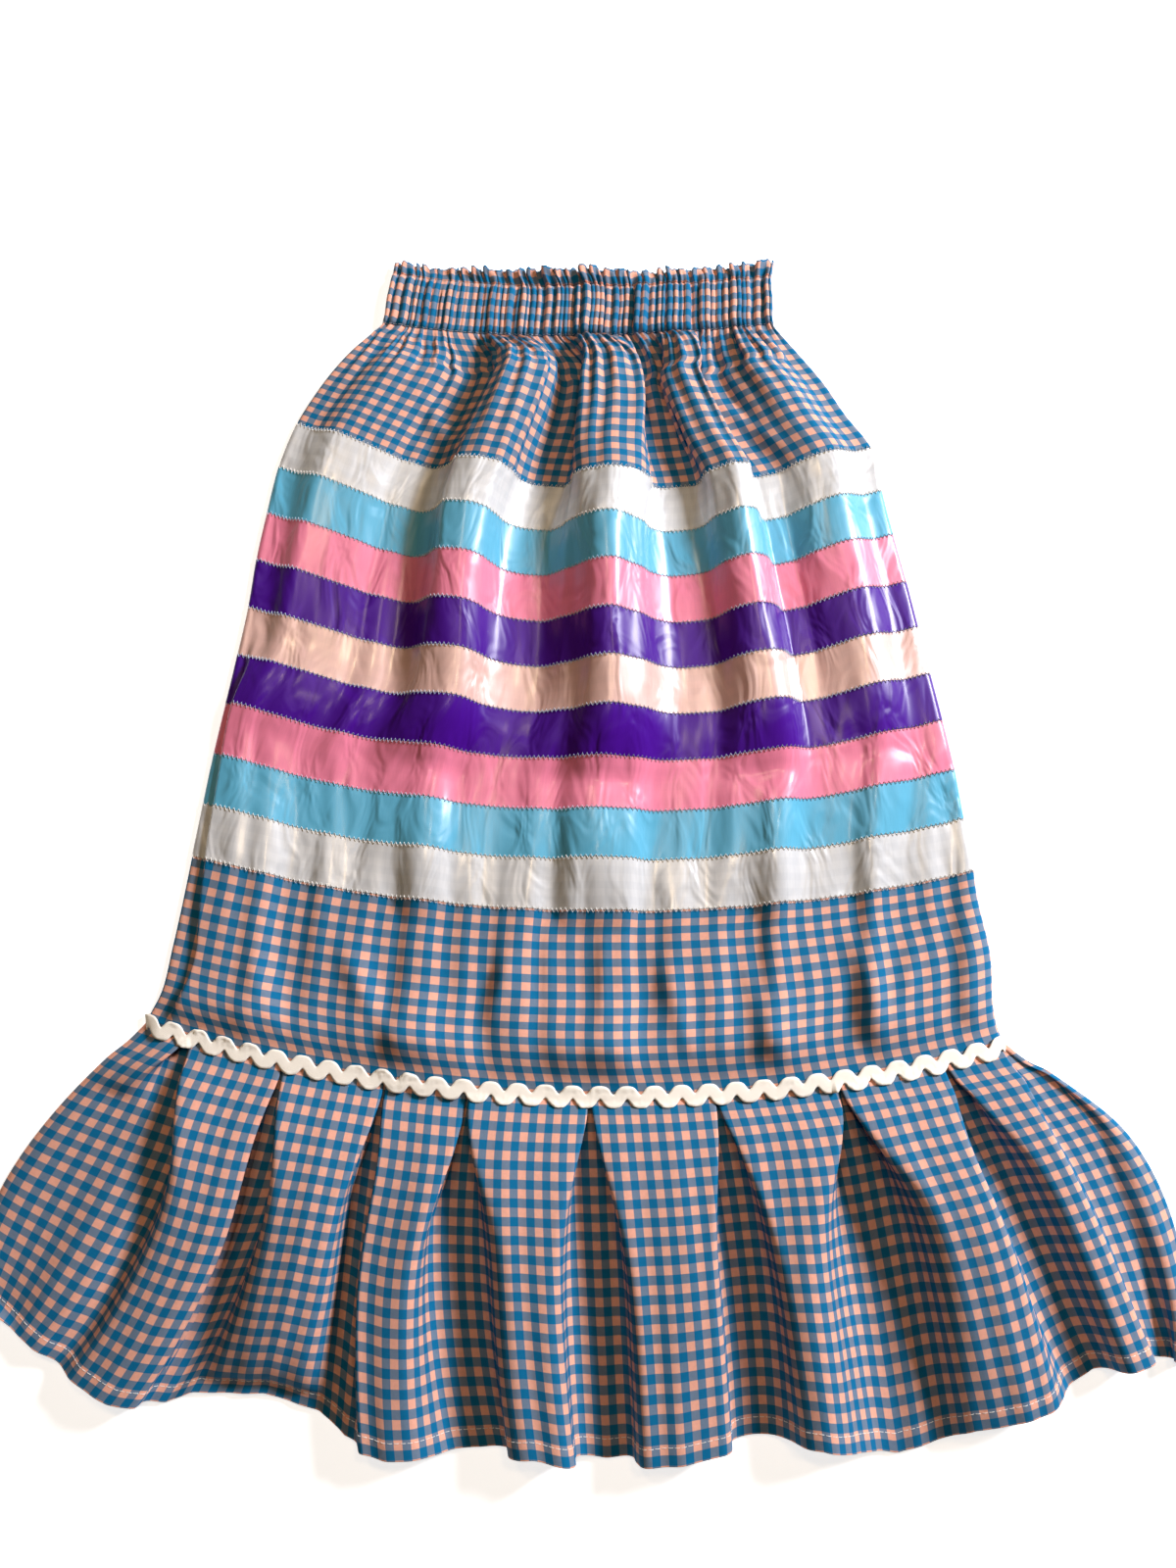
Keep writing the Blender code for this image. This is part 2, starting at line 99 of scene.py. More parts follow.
def wandering(name, x):
    seed, height, spacing = wander[name]
    return height * unevenness(x, seed, spacing)


# changes down the cloth: the depth where each starts, and how far it takes
bands = {
    "foldsRelax": (55, 150),
    "slackIn": (300, 150),
    "slackOut": (565, 38),
    "wavesStandIn": (300, 160),
    "wavesStandOut": (560, 43),
    "flatAtSeam": (565, 38),
    "wrinklesIn": (100, 60),
    "wrinklesOut": (560, 40),
    "pleatsUnder": (535, 50),
    "climbIn": (0, 70),
    "climbOut": (420, 120),
    "ribbonsUnderIn": (70, 50),
    "ribbonsUnderOut": (476, 14),
    "braidUnder": (582, 10),
    "backFlattens": (0, 90),
    # and down the ruffle
    "pleatsOpen": (4, 150),
    "seamLeft": (0, 30),
    "liftFades": (0, 40),
    "valleyFades": (60, 140),
    "braidPassed": (8, 8),
    "backWaves": (0, 60),
}


def band(name, v):
    start, over = bands[name]
    return ease((v - start) / over)


def arcLine(points):
    steps = np.hypot(*np.diff(points, axis=0).T)
    return points, np.concatenate([[0.0], np.cumsum(steps)])


def alongLine(line, run):
    points, lengths = line
    x, y = (np.interp(run, lengths, points[:, axis]) for axis in (0, 1))
    return np.stack([x, y], axis=-1)


def depths(*stretches, last):
    # rows down a piece of cloth: from, to and step of each stretch, then the last rows
    return np.concatenate([np.arange(*stretch) for stretch in stretches] + [last])


body = {
    "cloth": 570.0,  # width of the front's cloth, half of the tube
    "seam": 603.0,  # depth of cloth from the casing to the ruffle
    "casing": 42.0,
    "heading": 56.0,
    "gathers": 62,  # narrow gathers across the casing
    "tucks": 29,  # wider tucks they run into below it
    "base": 4.2,  # height of the front's outer face where it lies lowest
    "seamLift": 3.6,
    "power": 2.1,
    "backShare": 0.40,
    "climb": 0.12,
    "fineStep": 0.25,  # along a row, where its folds are worked out
    "step": 1.0,
    "slack": (0.006, 0.043),  # spare cloth in any row, and what the low waves add
    "stand": 2.4,  # how far the low waves stand clear of the back
}

# one entry per section: depth of cloth, the side edges as laid, how far the middle hangs below them
bodyRows = {
    "v": [
        -56, -49, -42, -21, 0, 12, 36, 66, 98, 130, 168.1, 206.2,
        244.3, 282.4, 320.5, 358.6, 396.7, 434.8, 472.9, 490, 535, 580, 593, 603,
    ],
    "leftX": [
        -156, -156.5, -157, -160, -164, -172, -186, -202, -216, -228, -240, -247,
        -253, -257, -263, -269.5, -276, -281.5, -287, -289.5, -296.5, -304, -308.5, -312,
    ],
    "leftY": [
        426, 421, 415.5, 394, 371.5, 364, 351, 331, 309, 286, 250, 212,
        174, 136, 98.5, 60.5, 22.5, -15, -53.5, -72, -118, -155, -164, -172,
    ],
    "rightX": [
        150, 148.5, 147, 147, 148, 155, 169, 186, 202, 221, 227, 234,
        242, 249, 256, 263, 269.5, 274, 279, 280, 287, 287, 289, 293,
    ],
    "rightY": [
        426, 419.5, 413, 392, 371.5, 362, 344, 321, 294, 266, 230, 194,
        156, 120, 83.5, 47.5, 10, -26.5, -64.5, -80, -124, -166, -177, -187,
    ],
    "dip": [
        11, 11, 11, 11, 11.5, 16, 24, 34, 41, 45, 45, 44.5,
        43, 41.5, 40, 38, 37.5, 36.5, 34.5, 34, 36, 39, 40.5, 42,
    ],
}
# how steep the narrow gathers and the tucks are down the cloth
slopes = {
    "v": [-56, -42, 0, 12, 36, 66, 98, 130, 170, 230, 603],
    "gather": [0.75, 1.43, 1.43, 1.10, 0.42, 0.14, 0.05, 0.02, 0, 0, 0],
    "heading": [1.25, 0.2, 0, 0, 0, 0, 0, 0, 0, 0, 0],
    "tuck": [0.0, 0.0, 0.25, 0.60, 0.72, 0.48, 0.26, 0.12, 0.08, 0.03, 0.0],
}
# the large folds: where along the cloth each half fold ends, and how steep it is beside the others
largeFolds = {
    "start": -285.0,
    "within": 284.9,
    # near the gathers: rolled tops, flat valleys and steep left sides; 0 is level cloth
    "crispEnd": [-232, -173, -118, -100, -54, -38, -4, 38, 76, 97, 126, 150, 176, 190, 240, 285],
    "crispRise": [12, -12, 38, 0, -38, 0, 44, 0, -44, 0, 38, 0, -38, 0, 18, -18],
    # lower down they relax into soft waves
    "softEnd": [-232, -173, -113, -52, 20, 90, 147, 190, 240, 285],
    "softRise": [12, -12, 36, -36, 44, -44, 34, -34, 18, -18],
}
# soft ripples between the folds, where the tucks run out: how steep they are down the cloth
ripples = {
    "v": [0, 60, 120, 200, 300, 420, 500, 560, 603],
    "steep": [0.0, 0.05, 0.13, 0.18, 0.20, 0.26, 0.42, 0.34, 0.10],
    "waves": [67, 38, 24],
}
# the crease down the left side: width of the strip beside it, and how far it is folded over
crease = {
    "v": [0, 320, 358.6, 396.7, 434.8, 472.9, 510, 535, 560, 580, 593, 603],
    "strip": [4, 4.5, 6.5, 9.5, 11.5, 13.5, 17, 21, 19, 14, 9, 6],
    "over": [0, 2, 4, 6, 7, 7, 8, 8, 7, 4, 2, 0],
    "turn": [0, 0.2, 0.7, 1, 1, 1, 1, 1, 1, 0.8, 0.4, 0],
    "bend": 3.4,  # cloth in each of its two bends
    "down": -0.07,  # slope of the cloth beside it, between the ends of its fall
    "fall": (12, 80),
    "fallEase": 10,
    "calm": 25,  # cloth beside it where the ripples come back
}
# the gathers in the casing, about their middle height
casingForm = {
    "share": 0.95,
    "stands": 2.4,
    "headingStands": 1.2,
    "headingFrom": 8,
    "stitch": 1.6,  # half width of the pinch at each row of stitches
    "pinch": 0.42,
    "puff": 0.6,
}


def bodyLine(v):
    names = ("leftX", "leftY", "rightX", "rightY", "dip")
    leftX, leftY, rightX, rightY, dip = columnsAt(bodyRows, names, v)
    t = np.linspace(0, 1, 241)
    x = leftX + (rightX - leftX) * t
    y = leftY + (rightY - leftY) * t - dip * (1 - np.abs(2 * t - 1) ** body["power"])
    return arcLine(np.stack([x, y], axis=1))


def foldSlope(u, v):
    def waves(ends, rises):
        slope, start = np.zeros_like(u), largeFolds["start"]
        for end, rise in zip(ends, rises):
            wide = end - start
            hump = math.pi / 2 * rise / wide * np.sin(math.pi * (u - start) / wide)
            slope = np.where((u >= start) & (u < end), hump, slope)
            start = end
        return slope

    relaxed = band("foldsRelax", v)
    crisp = waves(largeFolds["crispEnd"], largeFolds["crispRise"])
    soft = waves(largeFolds["softEnd"], largeFolds["softRise"])
    return crisp * (1 - relaxed) + soft * relaxed


def rippleSlope(u, v):
    steep = smoothAt(ripples["v"], ripples["steep"], v)
    first, second, third = ripples["waves"]
    drift = 5.0 * np.sin(v / 130.0)
    total = np.sin(2 * math.pi * (u + drift) / first + 0.8)
    total += 1.1 * np.sin(2 * math.pi * (u - drift) / second + v / 210.0)
    swell = np.sin(u / 90.0 + v / 260.0)
    total += 0.8 * np.sin(2 * math.pi * u / third + 2.1 + v / 300.0) * swell
    return steep * total / 1.6


def gone(part, angle, u):
    # how far a row with these slopes gets: across the table with np.cos, up with np.sin
    middle = (angle[1:] + angle[:-1]) / 2
    return np.concatenate([[0.0], np.cumsum(part(middle) * np.diff(u))])


def fitTo(length, u, angleAt, high):
    # the value whose row of cloth, with the slopes that angleAt gives, runs just this far
    low = 0.0
    for _ in range(halvings):
        value = (low + high) / 2
        if gone(np.cos, angleAt(value), u)[-1] > length:
            low = value
        else:
            high = value
    return value


def gatherSlope(u, v):
    # each narrow gather has its own depth, and the spacing drifts
    place = u + wandering("gatherPlace", u) + wandering("gatherNudge", u)
    phase = 2 * math.pi * body["gathers"] * place / body["cloth"]
    depth = np.clip(1 + wandering("gatherDepth", u), 0.4, 1.45)
    gather, heading = columnsAt(slopes, ("gather", "heading"), v)
    return gather * np.sin(phase) * depth + heading * np.sin(phase / 2 + 0.6) * depth


def tuckSlope(u, v):
    # tucks reach down unevenly, some a hand's width, some a finger's, and less far at the sides
    sides = 1 - 0.45 * ease((np.abs(u + 10) - 150) / 70)
    reach = np.clip(1 + wandering("tuckReach", u), 0.35, 2.0) * sides
    tuckV = np.clip(v / reach, 0, 600) if v > 36 else np.full_like(u, v)
    place = u + wandering("tuckPlace", u) + 0.10 * v * np.sin(u / 47 + 1.0)
    steep = np.interp(tuckV, slopes["v"], slopes["tuck"])
    return steep * np.sin(2 * math.pi * body["tucks"] * place / body["cloth"])


def casingRise(rise, v):
    rise = casingForm["share"] * (rise - np.median(rise))
    inHeading = ease((-v - body["casing"]) / casingForm["headingFrom"])
    rise += casingForm["stands"] + casingForm["headingStands"] * inHeading
    seams = (0, body["casing"])
    pinch = sum(math.exp(-(((v + seam) / casingForm["stitch"]) ** 2)) for seam in seams)
    puff = casingForm["puff"] * (1 - pinch) * (v > -body["casing"])
    return rise * (1 - casingForm["pinch"] * pinch) + puff


def bodyRow(v):
    # one row of the front's cloth: its line on the plan, and u, run and rise along it
    line = bodyLine(v)
    length = line[1][-1]
    strip, over, turn = columnsAt(crease, ("strip", "over", "turn"), v)
    turn = np.clip(turn, 0, 1)
    slack, lowSlack = body["slack"]
    slack += lowSlack * band("slackIn", v) * (1 - band("slackOut", v))
    half = max(body["cloth"], length * (1 + slack) + 2 + 2 * over * turn) / 2
    fine = np.arange(-half, half + body["fineStep"] / 2, body["fineStep"])
    fine[-1] = half
    # the crease down the left side folds the cloth back on itself and out again
    bend = crease["bend"]
    fromStrip = fine + half - strip
    back = ease((fromStrip - over) / bend) - ease((fromStrip - 2 * over - bend) / bend)
    pastFold = fromStrip - 2 * over
    near, far = (ease((pastFold - end) / crease["fallEase"]) for end in crease["fall"])
    side = math.pi * turn * back + crease["down"] * turn * (near - far)
    calm = 1 - turn * (1 - ease((pastFold - 2 * bend) / crease["calm"]))
    fold = foldSlope(np.clip(fine, -largeFolds["within"], largeFolds["within"]), v)
    small = gatherSlope(fine, v) + tuckSlope(fine, v) + rippleSlope(fine, v) * calm

    # the large folds take up what cloth is left; where the gathers alone shorten the row too
    # much, and in the casing, the gathers are made less steep instead
    if v > 0 and gone(np.cos, small + side, fine)[-1] > length:
        scale = fitTo(length, fine, lambda value: value * fold + small + side, 2.4)
        angle = scale * fold + small + side
    else:
        angle = fitTo(length, fine, lambda value: value * small + side, 1.6) * small + side
    run, rise = gone(np.cos, angle, fine), gone(np.sin, angle, fine)
    run *= length / run[-1]
    rise -= rise[-1] * (fine - fine[0]) / (fine[-1] - fine[0])
    if v <= 0:
        rise = casingRise(rise, v)
    # past the strip the low waves stand clear; near the waist the valleys rest on the back
    pastStrip = 1 - turn * (1 - ease((fromStrip - over) / bend))
    standing = band("wavesStandIn", v) * (1 - band("wavesStandOut", v))
    rise += body["stand"] * pastStrip * standing
    rise = 0.5 * (rise + np.sqrt(rise**2 + 0.6))
    rise *= 1 - 0.8 * band("flatAtSeam", v)
    count = len(np.arange(-half, half + body["step"] / 2, body["step"]))
    u = np.linspace(-half, half, count)
    return line, u, np.interp(u, fine, run), np.interp(u, fine, rise)


def clothWrinkles(u, v):
    # soft dents that the cloth keeps, under a millimetre or two high
    return (
        0.55 * np.sin(u / 31 + v / 57 + 1.3)
        + 0.45 * np.sin(u / 17 - v / 83 + 4.0)
        + 0.35 * np.sin(u / 11.3 + v / 29 + 0.4) * np.sin(v / 41 + u / 90)
    )


# short creases that the cotton keeps from being folded away: each end in cloth, half width, height
creases = {
    "fromU": [-235, -175, -62, -12, 28, 70, 150, 205, 250, -205, -140, 118, 190],
    "fromV": [520, 500, 560, 478, 476, 500, 585, 490, 560, 62, 120, 70, 60],
    "toU": [-205, -118, -38, -14, 26, 96, 128, 232, 262, -150, -182, 100, 214],
    "toV": [590, 585, 500, 590, 560, 590, 500, 575, 500, 122, 84, 124, 120],
    "wide": [9, 9, 8, 7, 4, 8, 9, 10, 8, 8, 7, 6, 7],
    "tall": [4.0, 4.6, 4.4, 3.4, 2.2, 4.0, 3.6, 4.6, 3.6, 3.4, 2.8, 2.4, 2.8],
}


def keptCreases(u, v):
    total = np.zeros_like(u)
    for fromU, fromV, toU, toV, wide, tall in zip(*creases.values()):
        longU, longV = toU - fromU, toV - fromV
        share = ((u - fromU) * longU + (v - fromV) * longV) / (longU**2 + longV**2)
        near = np.clip(share, 0, 1)
        away = np.hypot(u - fromU - near * longU, v - fromV - near * longV)
        total += tall * np.exp(-((away / wide) ** 2)) * ease(near * 3) * ease((1 - near) * 3)
    return total


# how far in from the side edges a change reaches
edges = {"fade": 40, "seam": 24, "curl": 4.5, "ruffleCurl": 5, "backPull": 8}


def roundDown(z, edge, reach):
    # the side edges round down to the layer below
    curl = np.sqrt(np.clip(1 - (1 - np.clip(edge / reach, 0, 1)) ** 2, 0, 1))
    return 1.0 + (z - 1.0) * (0.12 + 0.88 * curl)


def buildBodySheets():
    # points of the front's outer face and of the back's outer face, on a lattice of u share and v
    vs = depths((-56, 40, 1.5), (40, 140, 2.0), (140, 603, 4.0), last=[603.0])
    columns = 1141
    front, back = np.zeros((2, len(vs), columns, 3))
    halves = np.zeros(len(vs))
    for i, v in enumerate(vs):
        line, u, run, rise = bodyRow(v)
        length = line[1][-1]
        halves[i] = -u[0]
        share = np.linspace(-halves[i], halves[i], columns)
        run, rise = np.interp(share, u, run), np.interp(share, u, rise)
        edge = np.minimum(run, length - run)
        fade = ease(edge / edges["fade"])
        seam = body["seamLift"] * ease(edge / edges["seam"]) * band("pleatsUnder", v)
        wrinkles = clothWrinkles(share, v) * fade * band("wrinklesIn", v)
        z = body["base"] + rise + seam + wrinkles * (1 - 0.6 * band("wrinklesOut", v))
        z = roundDown(z + keptCreases(share, v) * fade, edge, edges["curl"])
        front[i, :, :2] = alongLine(line, run)
        # cloth that climbs onto a ridge reaches less far down the plan
        climbed = body["climb"] * rise * band("climbIn", v) * (1 - band("climbOut", v))
        front[i, :, 1] += climbed
        if v < -body["casing"]:
            # the heading's loops lean and end unevenly
            up = (-v - body["casing"]) / (body["heading"] - body["casing"])
            ends = wandering("headingEdge", share) + wandering("headingSway", share)
            front[i, :, 1] += up * ends
            front[i, :, 0] -= 3.2 * up**1.5 * fade
        front[i, :, 2] = z
        # the back lies on its ribbons and braid, with low folds under the front's
        under = band("ribbonsUnderIn", v) * (1 - band("ribbonsUnderOut", v))
        under += 1.4 * band("braidUnder", v)
        keep = 1.0 + (body["backShare"] - 1.0) * band("backFlattens", v)
        zBack = under + np.maximum(0.0, (rise - 0.6) * keep)
        pull = 2.2 * np.sign(run - length / 2) * (1 - ease(edge / edges["backPull"]))
        back[i, :, :2] = alongLine(line, np.clip(run - pull, 0, length))
        back[i, :, 1] += climbed * 0.6
        back[i, :, 2] = np.maximum(np.minimum(zBack, z - 1.0), 0.0)
    return vs, halves, front, back


def faceDirections(points):
    facing = np.cross(np.gradient(points, axis=0), np.gradient(points, axis=1))
    size = np.linalg.norm(facing, axis=2, keepdims=True)
    return facing / np.maximum(size, 1e-9)


class Sheet:
    # a laid layer of cloth that pieces take their points from
    def __init__(self, vs, halves, points, outward):
        self.vs, self.halves, self.points = vs, halves, points
        self.facing = faceDirections(points) * outward

    def at(self, u, v, lift=0.0):
        # where the cloth at u and v lies, lifted off its outer face
        u, v, lift = (np.asarray(a, float) for a in (u, v, lift))
        row = np.interp(v, self.vs, np.arange(len(self.vs)))
        half = np.interp(v, self.vs, self.halves)
        last = self.points.shape[1] - 1
        column = np.clip((u + half) / (2 * half) * last, 0, last - 1e-6)
        i = np.clip(row.astype(int), 0, len(self.vs) - 2)
        j = column.astype(int)
        fi, fj = (row - i)[:, None], (column - j)[:, None]

        def mix(a):
            above = a[i, j] * (1 - fj) + a[i, j + 1] * fj
            below = a[i + 1, j] * (1 - fj) + a[i + 1, j + 1] * fj
            return above * (1 - fi) + below * fi

        facing = mix(self.facing)
        facing /= np.maximum(np.linalg.norm(facing, axis=1, keepdims=True), 1e-9)
        return mix(self.points) + facing * np.broadcast_to(lift, v.shape)[:, None]


bodyVs, bodyHalves, frontPoints, backPoints = buildBodySheets()
frontSheet = Sheet(bodyVs, bodyHalves, frontPoints, 1)
backSheet = Sheet(bodyVs, bodyHalves, backPoints, -1)
print("body laid")

ruffle = {
    "depth": 230.0,
    "middle": 95.0,  # depth that the middle places below are given for
    "turned": 12.0,  # hem turned up
    "underlap": 14.0,  # depth of each side of a box pleat where it is sewn
    "lastUnderlap": 20,  # what the last pleat takes more
    "base": 3.9,
    "backShare": 0.36,
    "inset": 2.0,
}
# where each valley between two pleats lies at the seam, at the middle and at the hem
pleats = {
    "seam": [-312, -278, -212, -141, -83, 1, 88, 173, 247, 289, 293],
    "middle": [-380, -304, -231, -150, -90, 5, 102, 189, 280, 340, 375],
    "hem": [-418, -366, -284, -160, -72, 12, 111, 208, 329, 382, 402],
    "spare": [2, -10, 0, -4, -12, -6, -20, 14, -14, -10],  # cloth in each pleat beyond the usual
    "leftFlank": [44, 60, 52, 28, 56, 42, 44, 76, 44, 30],  # cloth in each flank at the hem
    "leftCrisp": [0.2, 0.0, 0.1, 0.95, 0.0, 0.6, 0.5, 0.0, 0.2, 0.2],  # 1 turns at a sharp edge
    "rightFlank": [56, 24, 50, 52, 46, 40, 70, 46, 34, 30],
    "rightCrisp": [0.0, 0.9, 0.1, 0.1, 0.4, 0.6, 0.0, 0.3, 0.2, 0.3],
    "floor": [3, 3, 3, 2, 5, 7, 7, 4, 3, 3, 3],  # half the flat width of each valley at the hem
}
# the rolled side edges: how steep they rise, where and how wide
sideRolls = {"left": (0.55, 16, 13), "right": (0.5, 16, 12)}
hemPull = {  # how far the hem is drawn up along it as it lies
    "x": [
        -418, -380, -351, -310, -280, -262, -215, -178, -160, -130, -72, -35,
        12, 60, 111, 150, 203, 225, 250, 299, 335, 370, 402,
    ],
    "up": [3, 0, -4, -7, -2, 10, 20, 15, 2, -3, 0, 3, -6, -2, 7, 4, -12, -8, 0, 0, 9, 5, -14],
    "power": 1.6,
}
ruffleRows = {
    "v": [0, 10, 45, 95, 150, 205, 230],
    "middleY": [-221.8, -231.5, -266, -314, -367, -420.5, -445],
    "riseLeft": [49.5, 51.5, 59, 69, 81, 92, 97],
    "riseRight": [34.5, 38, 51, 69, 74, 69, 67],
    "power": [2.0, 2.0, 2.1, 2.3, 2.6, 2.9, 3.0],
}
seamLine = bodyLine(body["seam"])


def pleatCloth():
    # cloth from the middle of each valley to the next, and how deep it is folded under at the seam
    places = np.interp(pleats["seam"], seamLine[0][:, 0], seamLine[1])
    widths = np.diff(places)
    cloth = widths + 4 * ruffle["underlap"] + np.array(pleats["spare"])
    cloth[0] -= 2 * ruffle["underlap"]
    cloth[-1] -= 2 * ruffle["underlap"] - ruffle["lastUnderlap"]
    laps = (cloth - widths) / 4
    laps[[0, -1]] *= 2
    return cloth, laps


clothWidths, lapWidths = pleatCloth()
ruffleCloth = float(clothWidths.sum())


def ruffleLine(v):
    # a row's line on the plan, and how far along it each valley lies
    t, m = v / ruffle["depth"], ruffle["middle"] / ruffle["depth"]
    seam, middle, hem = (np.array(pleats[k], float) for k in ("seam", "middle", "hem"))
    bend = (middle - seam - (hem - seam) * m) / (m * (1 - m))
    xs = seam + (hem - seam) * t + bend * t * (1 - t)
    names = ("middleY", "riseLeft", "riseRight", "power")
    middleY, riseLeft, riseRight, power = columnsAt(ruffleRows, names, v)
    x = np.linspace(xs[0], xs[-1], 481)
    pulled = np.interp(np.interp(x, xs, hem), hemPull["x"], hemPull["up"]) * t ** hemPull["power"]
    left, right = riseLeft * np.abs(x / xs[0]) ** power, riseRight * np.abs(x / xs[-1]) ** power
    y = middleY + np.where(x < 0, left, right) + pulled
    near = 1 - band("seamLeft", v)
    if near > 0:
        points = seamLine[0]
        across = np.linspace(points[0, 0], points[-1, 0], len(x))
        y = y * (1 - near) + (np.interp(across, points[:, 0], points[:, 1]) - v) * near
    line = arcLine(np.stack([x, y], axis=1))
    return line, np.interp(xs, x, line[1])


def pleatRow(k, cloth, width, v):
    # the cloth of one pleat, from valley to valley: (u, run, rise)
    opened = band("pleatsOpen", v)
    lap = lapWidths[k]
    u = np.linspace(0, cloth, 401)

    def flank(x, support, crisp, floor):
        # 1 where the cloth climbs; at the seam it folds flat over the hidden layer below it
        start = lap - 1.5 + (floor - lap + 1.5) * opened
        climb = 3.0 + (0.45 * support - 3.0) * opened
        turn = 3.0 + ((0.55 - 0.38 * crisp) * support - 3.0) * opened
        end = lap * 2 - 1.5 + (floor + support - turn - lap * 2 + 1.5) * opened
        end = max(end, start + climb)
        shape = ease((x - start) / climb) * (1 - ease((x - end) / turn))
        area = climb / 2 + (end - start - climb) + turn / 2
        return shape * (lap / area) ** opened

    def sideRoll(x, name):
        steep, place, wide = sideRolls[name]
        return steep * opened * np.exp(-(((x - place) / wide) ** 2))

    floor = pleats["floor"][k : k + 2]
    left = flank(u, pleats["leftFlank"][k], pleats["leftCrisp"][k], floor[0])
    right = flank(cloth - u, pleats["rightFlank"][k], pleats["rightCrisp"][k], floor[1])
    if k == 0:
        left = sideRoll(u, "left")
    if k == len(clothWidths) - 1:
        right = sideRoll(cloth - u, "right")
    # the top of a wide pleat sags and ripples a little
    waves = np.sin(2 * math.pi * u / 37 + k * 1.7 + v / 120)
    waves += 0.6 * np.sin(2 * math.pi * u / 19 + k * 2.9 - v / 150)
    top = 0.20 * (v / ruffle["depth"]) ** 0.6 * waves * np.clip(1 - left - right, 0, 1)
    shape = left - right
    scale = fitTo(width, u, lambda value: value * shape + top, math.pi * (1 + 1.2 * opened))
    angle = scale * shape + top
    run, rise = gone(np.cos, angle, u), gone(np.sin, angle, u)
    return u, run * width / run[-1], rise - rise[-1] * u / cloth


def buildRuffleSheets():
    vs = depths((0, 30, 1.5), (30, 230, 3.0), last=[230.0])
    columns = 2001
    shares = np.linspace(0, ruffleCloth, columns)
    edge = np.minimum(shares, ruffleCloth - shares)
    edgeFade = ease(edge / edges["seam"])
    front, back = np.zeros((2, len(vs), columns, 3))
    starts = np.concatenate([[0.0], np.cumsum(clothWidths)])
    firstValley = 11.0 * np.exp(-(((shares - starts[1]) / 20) ** 2)) * ease(edge / edges["fade"])
    for i, v in enumerate(vs):
        line, valleys = ruffleLine(v)
        rows = []
        for k, cloth in enumerate(clothWidths):
            u, run, rise = pleatRow(k, cloth, valleys[k + 1] - valleys[k], v)
            rows.append((starts[k] + u[:-1], valleys[k] + run[:-1], rise[:-1]))
        allU, allRun, allRise = (np.concatenate(parts) for parts in zip(*rows))
        run, rise = np.interp(shares, allU, allRun), np.interp(shares, allU, allRise)
        rise = np.maximum(rise, -1.5)
        near = 1 - band("liftFades", v)
        dents = 0.7 * clothWrinkles(shares * 0.8, v * 1.6) * edgeFade * (1 - near)
        z = ruffle["base"] + rise * (edgeFade * near + (1 - near)) + dents
        # the first valley on the left fades out before the hem
        z = roundDown(z + firstValley * band("valleyFades", v), edge, edges["ruffleCurl"])
        front[i, :, :2] = alongLine(line, run)
        front[i, :, 2] = z
        # the back's waves are lower, and at the seam it lies on its braid
        inset = ruffle["inset"]
        back[i, :, :2] = alongLine(line, np.clip(run, inset, line[1][-1] - inset))
        waves = np.minimum((rise - 3) * ruffle["backShare"] * band("backWaves", v), z - 1.6)
        back[i, :, 2] = 1.4 * (1 - band("braidPassed", v)) + np.maximum(0, waves)
    return vs, np.full(len(vs), ruffleCloth / 2), front, back


ruffleVs, ruffleHalves, ruffleFrontPoints, ruffleBackPoints = buildRuffleSheets()
ruffleFrontSheet = Sheet(ruffleVs, ruffleHalves, ruffleFrontPoints, 1)
ruffleBackSheet = Sheet(ruffleVs, ruffleHalves, ruffleBackPoints, -1)
print("ruffle laid, front cloth", round(ruffleCloth), "mm")


def fromHex(text):
    # sRGB hex to linear
    values = [int(text[i : i + 2], 16) / 255 for i in (1, 3, 5)]
    return [v / 12.92 if v <= 0.04045 else ((v + 0.055) / 1.055) ** 2.4 for v in values] + [1.0]


def shaded(color, factor):
    return [min(1, c * factor) for c in fromHex(color)[:3]] + [1]


def setNode(material, node, settings, links):
    # a link's source is an output, or a node whose first output is meant
    for key, value in settings.items():
        if isinstance(key, str) and hasattr(node, key):
            setattr(node, key, value)
        else:
            node.inputs[key].default_value = value
    for key, source in links.items():
        socket = source.outputs[0] if hasattr(source, "outputs") else source
        material.node_tree.links.new(socket, node.inputs[key])


def addNode(material, kind, settings=None, links=None):
    node = material.node_tree.nodes.new("ShaderNode" + kind)
    setNode(material, node, settings or {}, links or {})
    return node


def newMaterial(name, settings):
    material = bpy.data.materials.new(name)
    material.use_nodes = True
    shader = material.node_tree.nodes["Principled BSDF"]
    setNode(material, shader, settings, {})
    return material, shader


def setRamp(ramp, start, end):
    for element, (place, color) in zip(ramp.color_ramp.elements, (start, end)):
        element.position, element.color = place, color


perMetre = 1000 * 2 * math.pi  # over a wave's length in millimetres: radians for a metre
operations = ("MULTIPLY", "ADD", "MULTIPLY_ADD", "SINE")
times, add, timesAdd, sine = ({"operation": name} for name in operations)
multiplied = {"data_type": "RGBA", "blend_type": "MULTIPLY"}
flatNoise = {"noise_dimensions": "2D"}
gingham = {
    "blue": "#006694",
    "pink": "#e5a791",
    "mixed": "#687b91",
    "across": 12.06,  # one blue and one pink stripe of the warp
    "down": 10.9,
    "yarn": 0.62,  # real yarns are 0.3 mm, drawn twice as coarse to show
    "edge": 7.0,  # how sharp the edge of a stripe is
    "surface": {"Roughness": 0.85, "IOR": 1.45, "Specular IOR Level": 0.2},
}


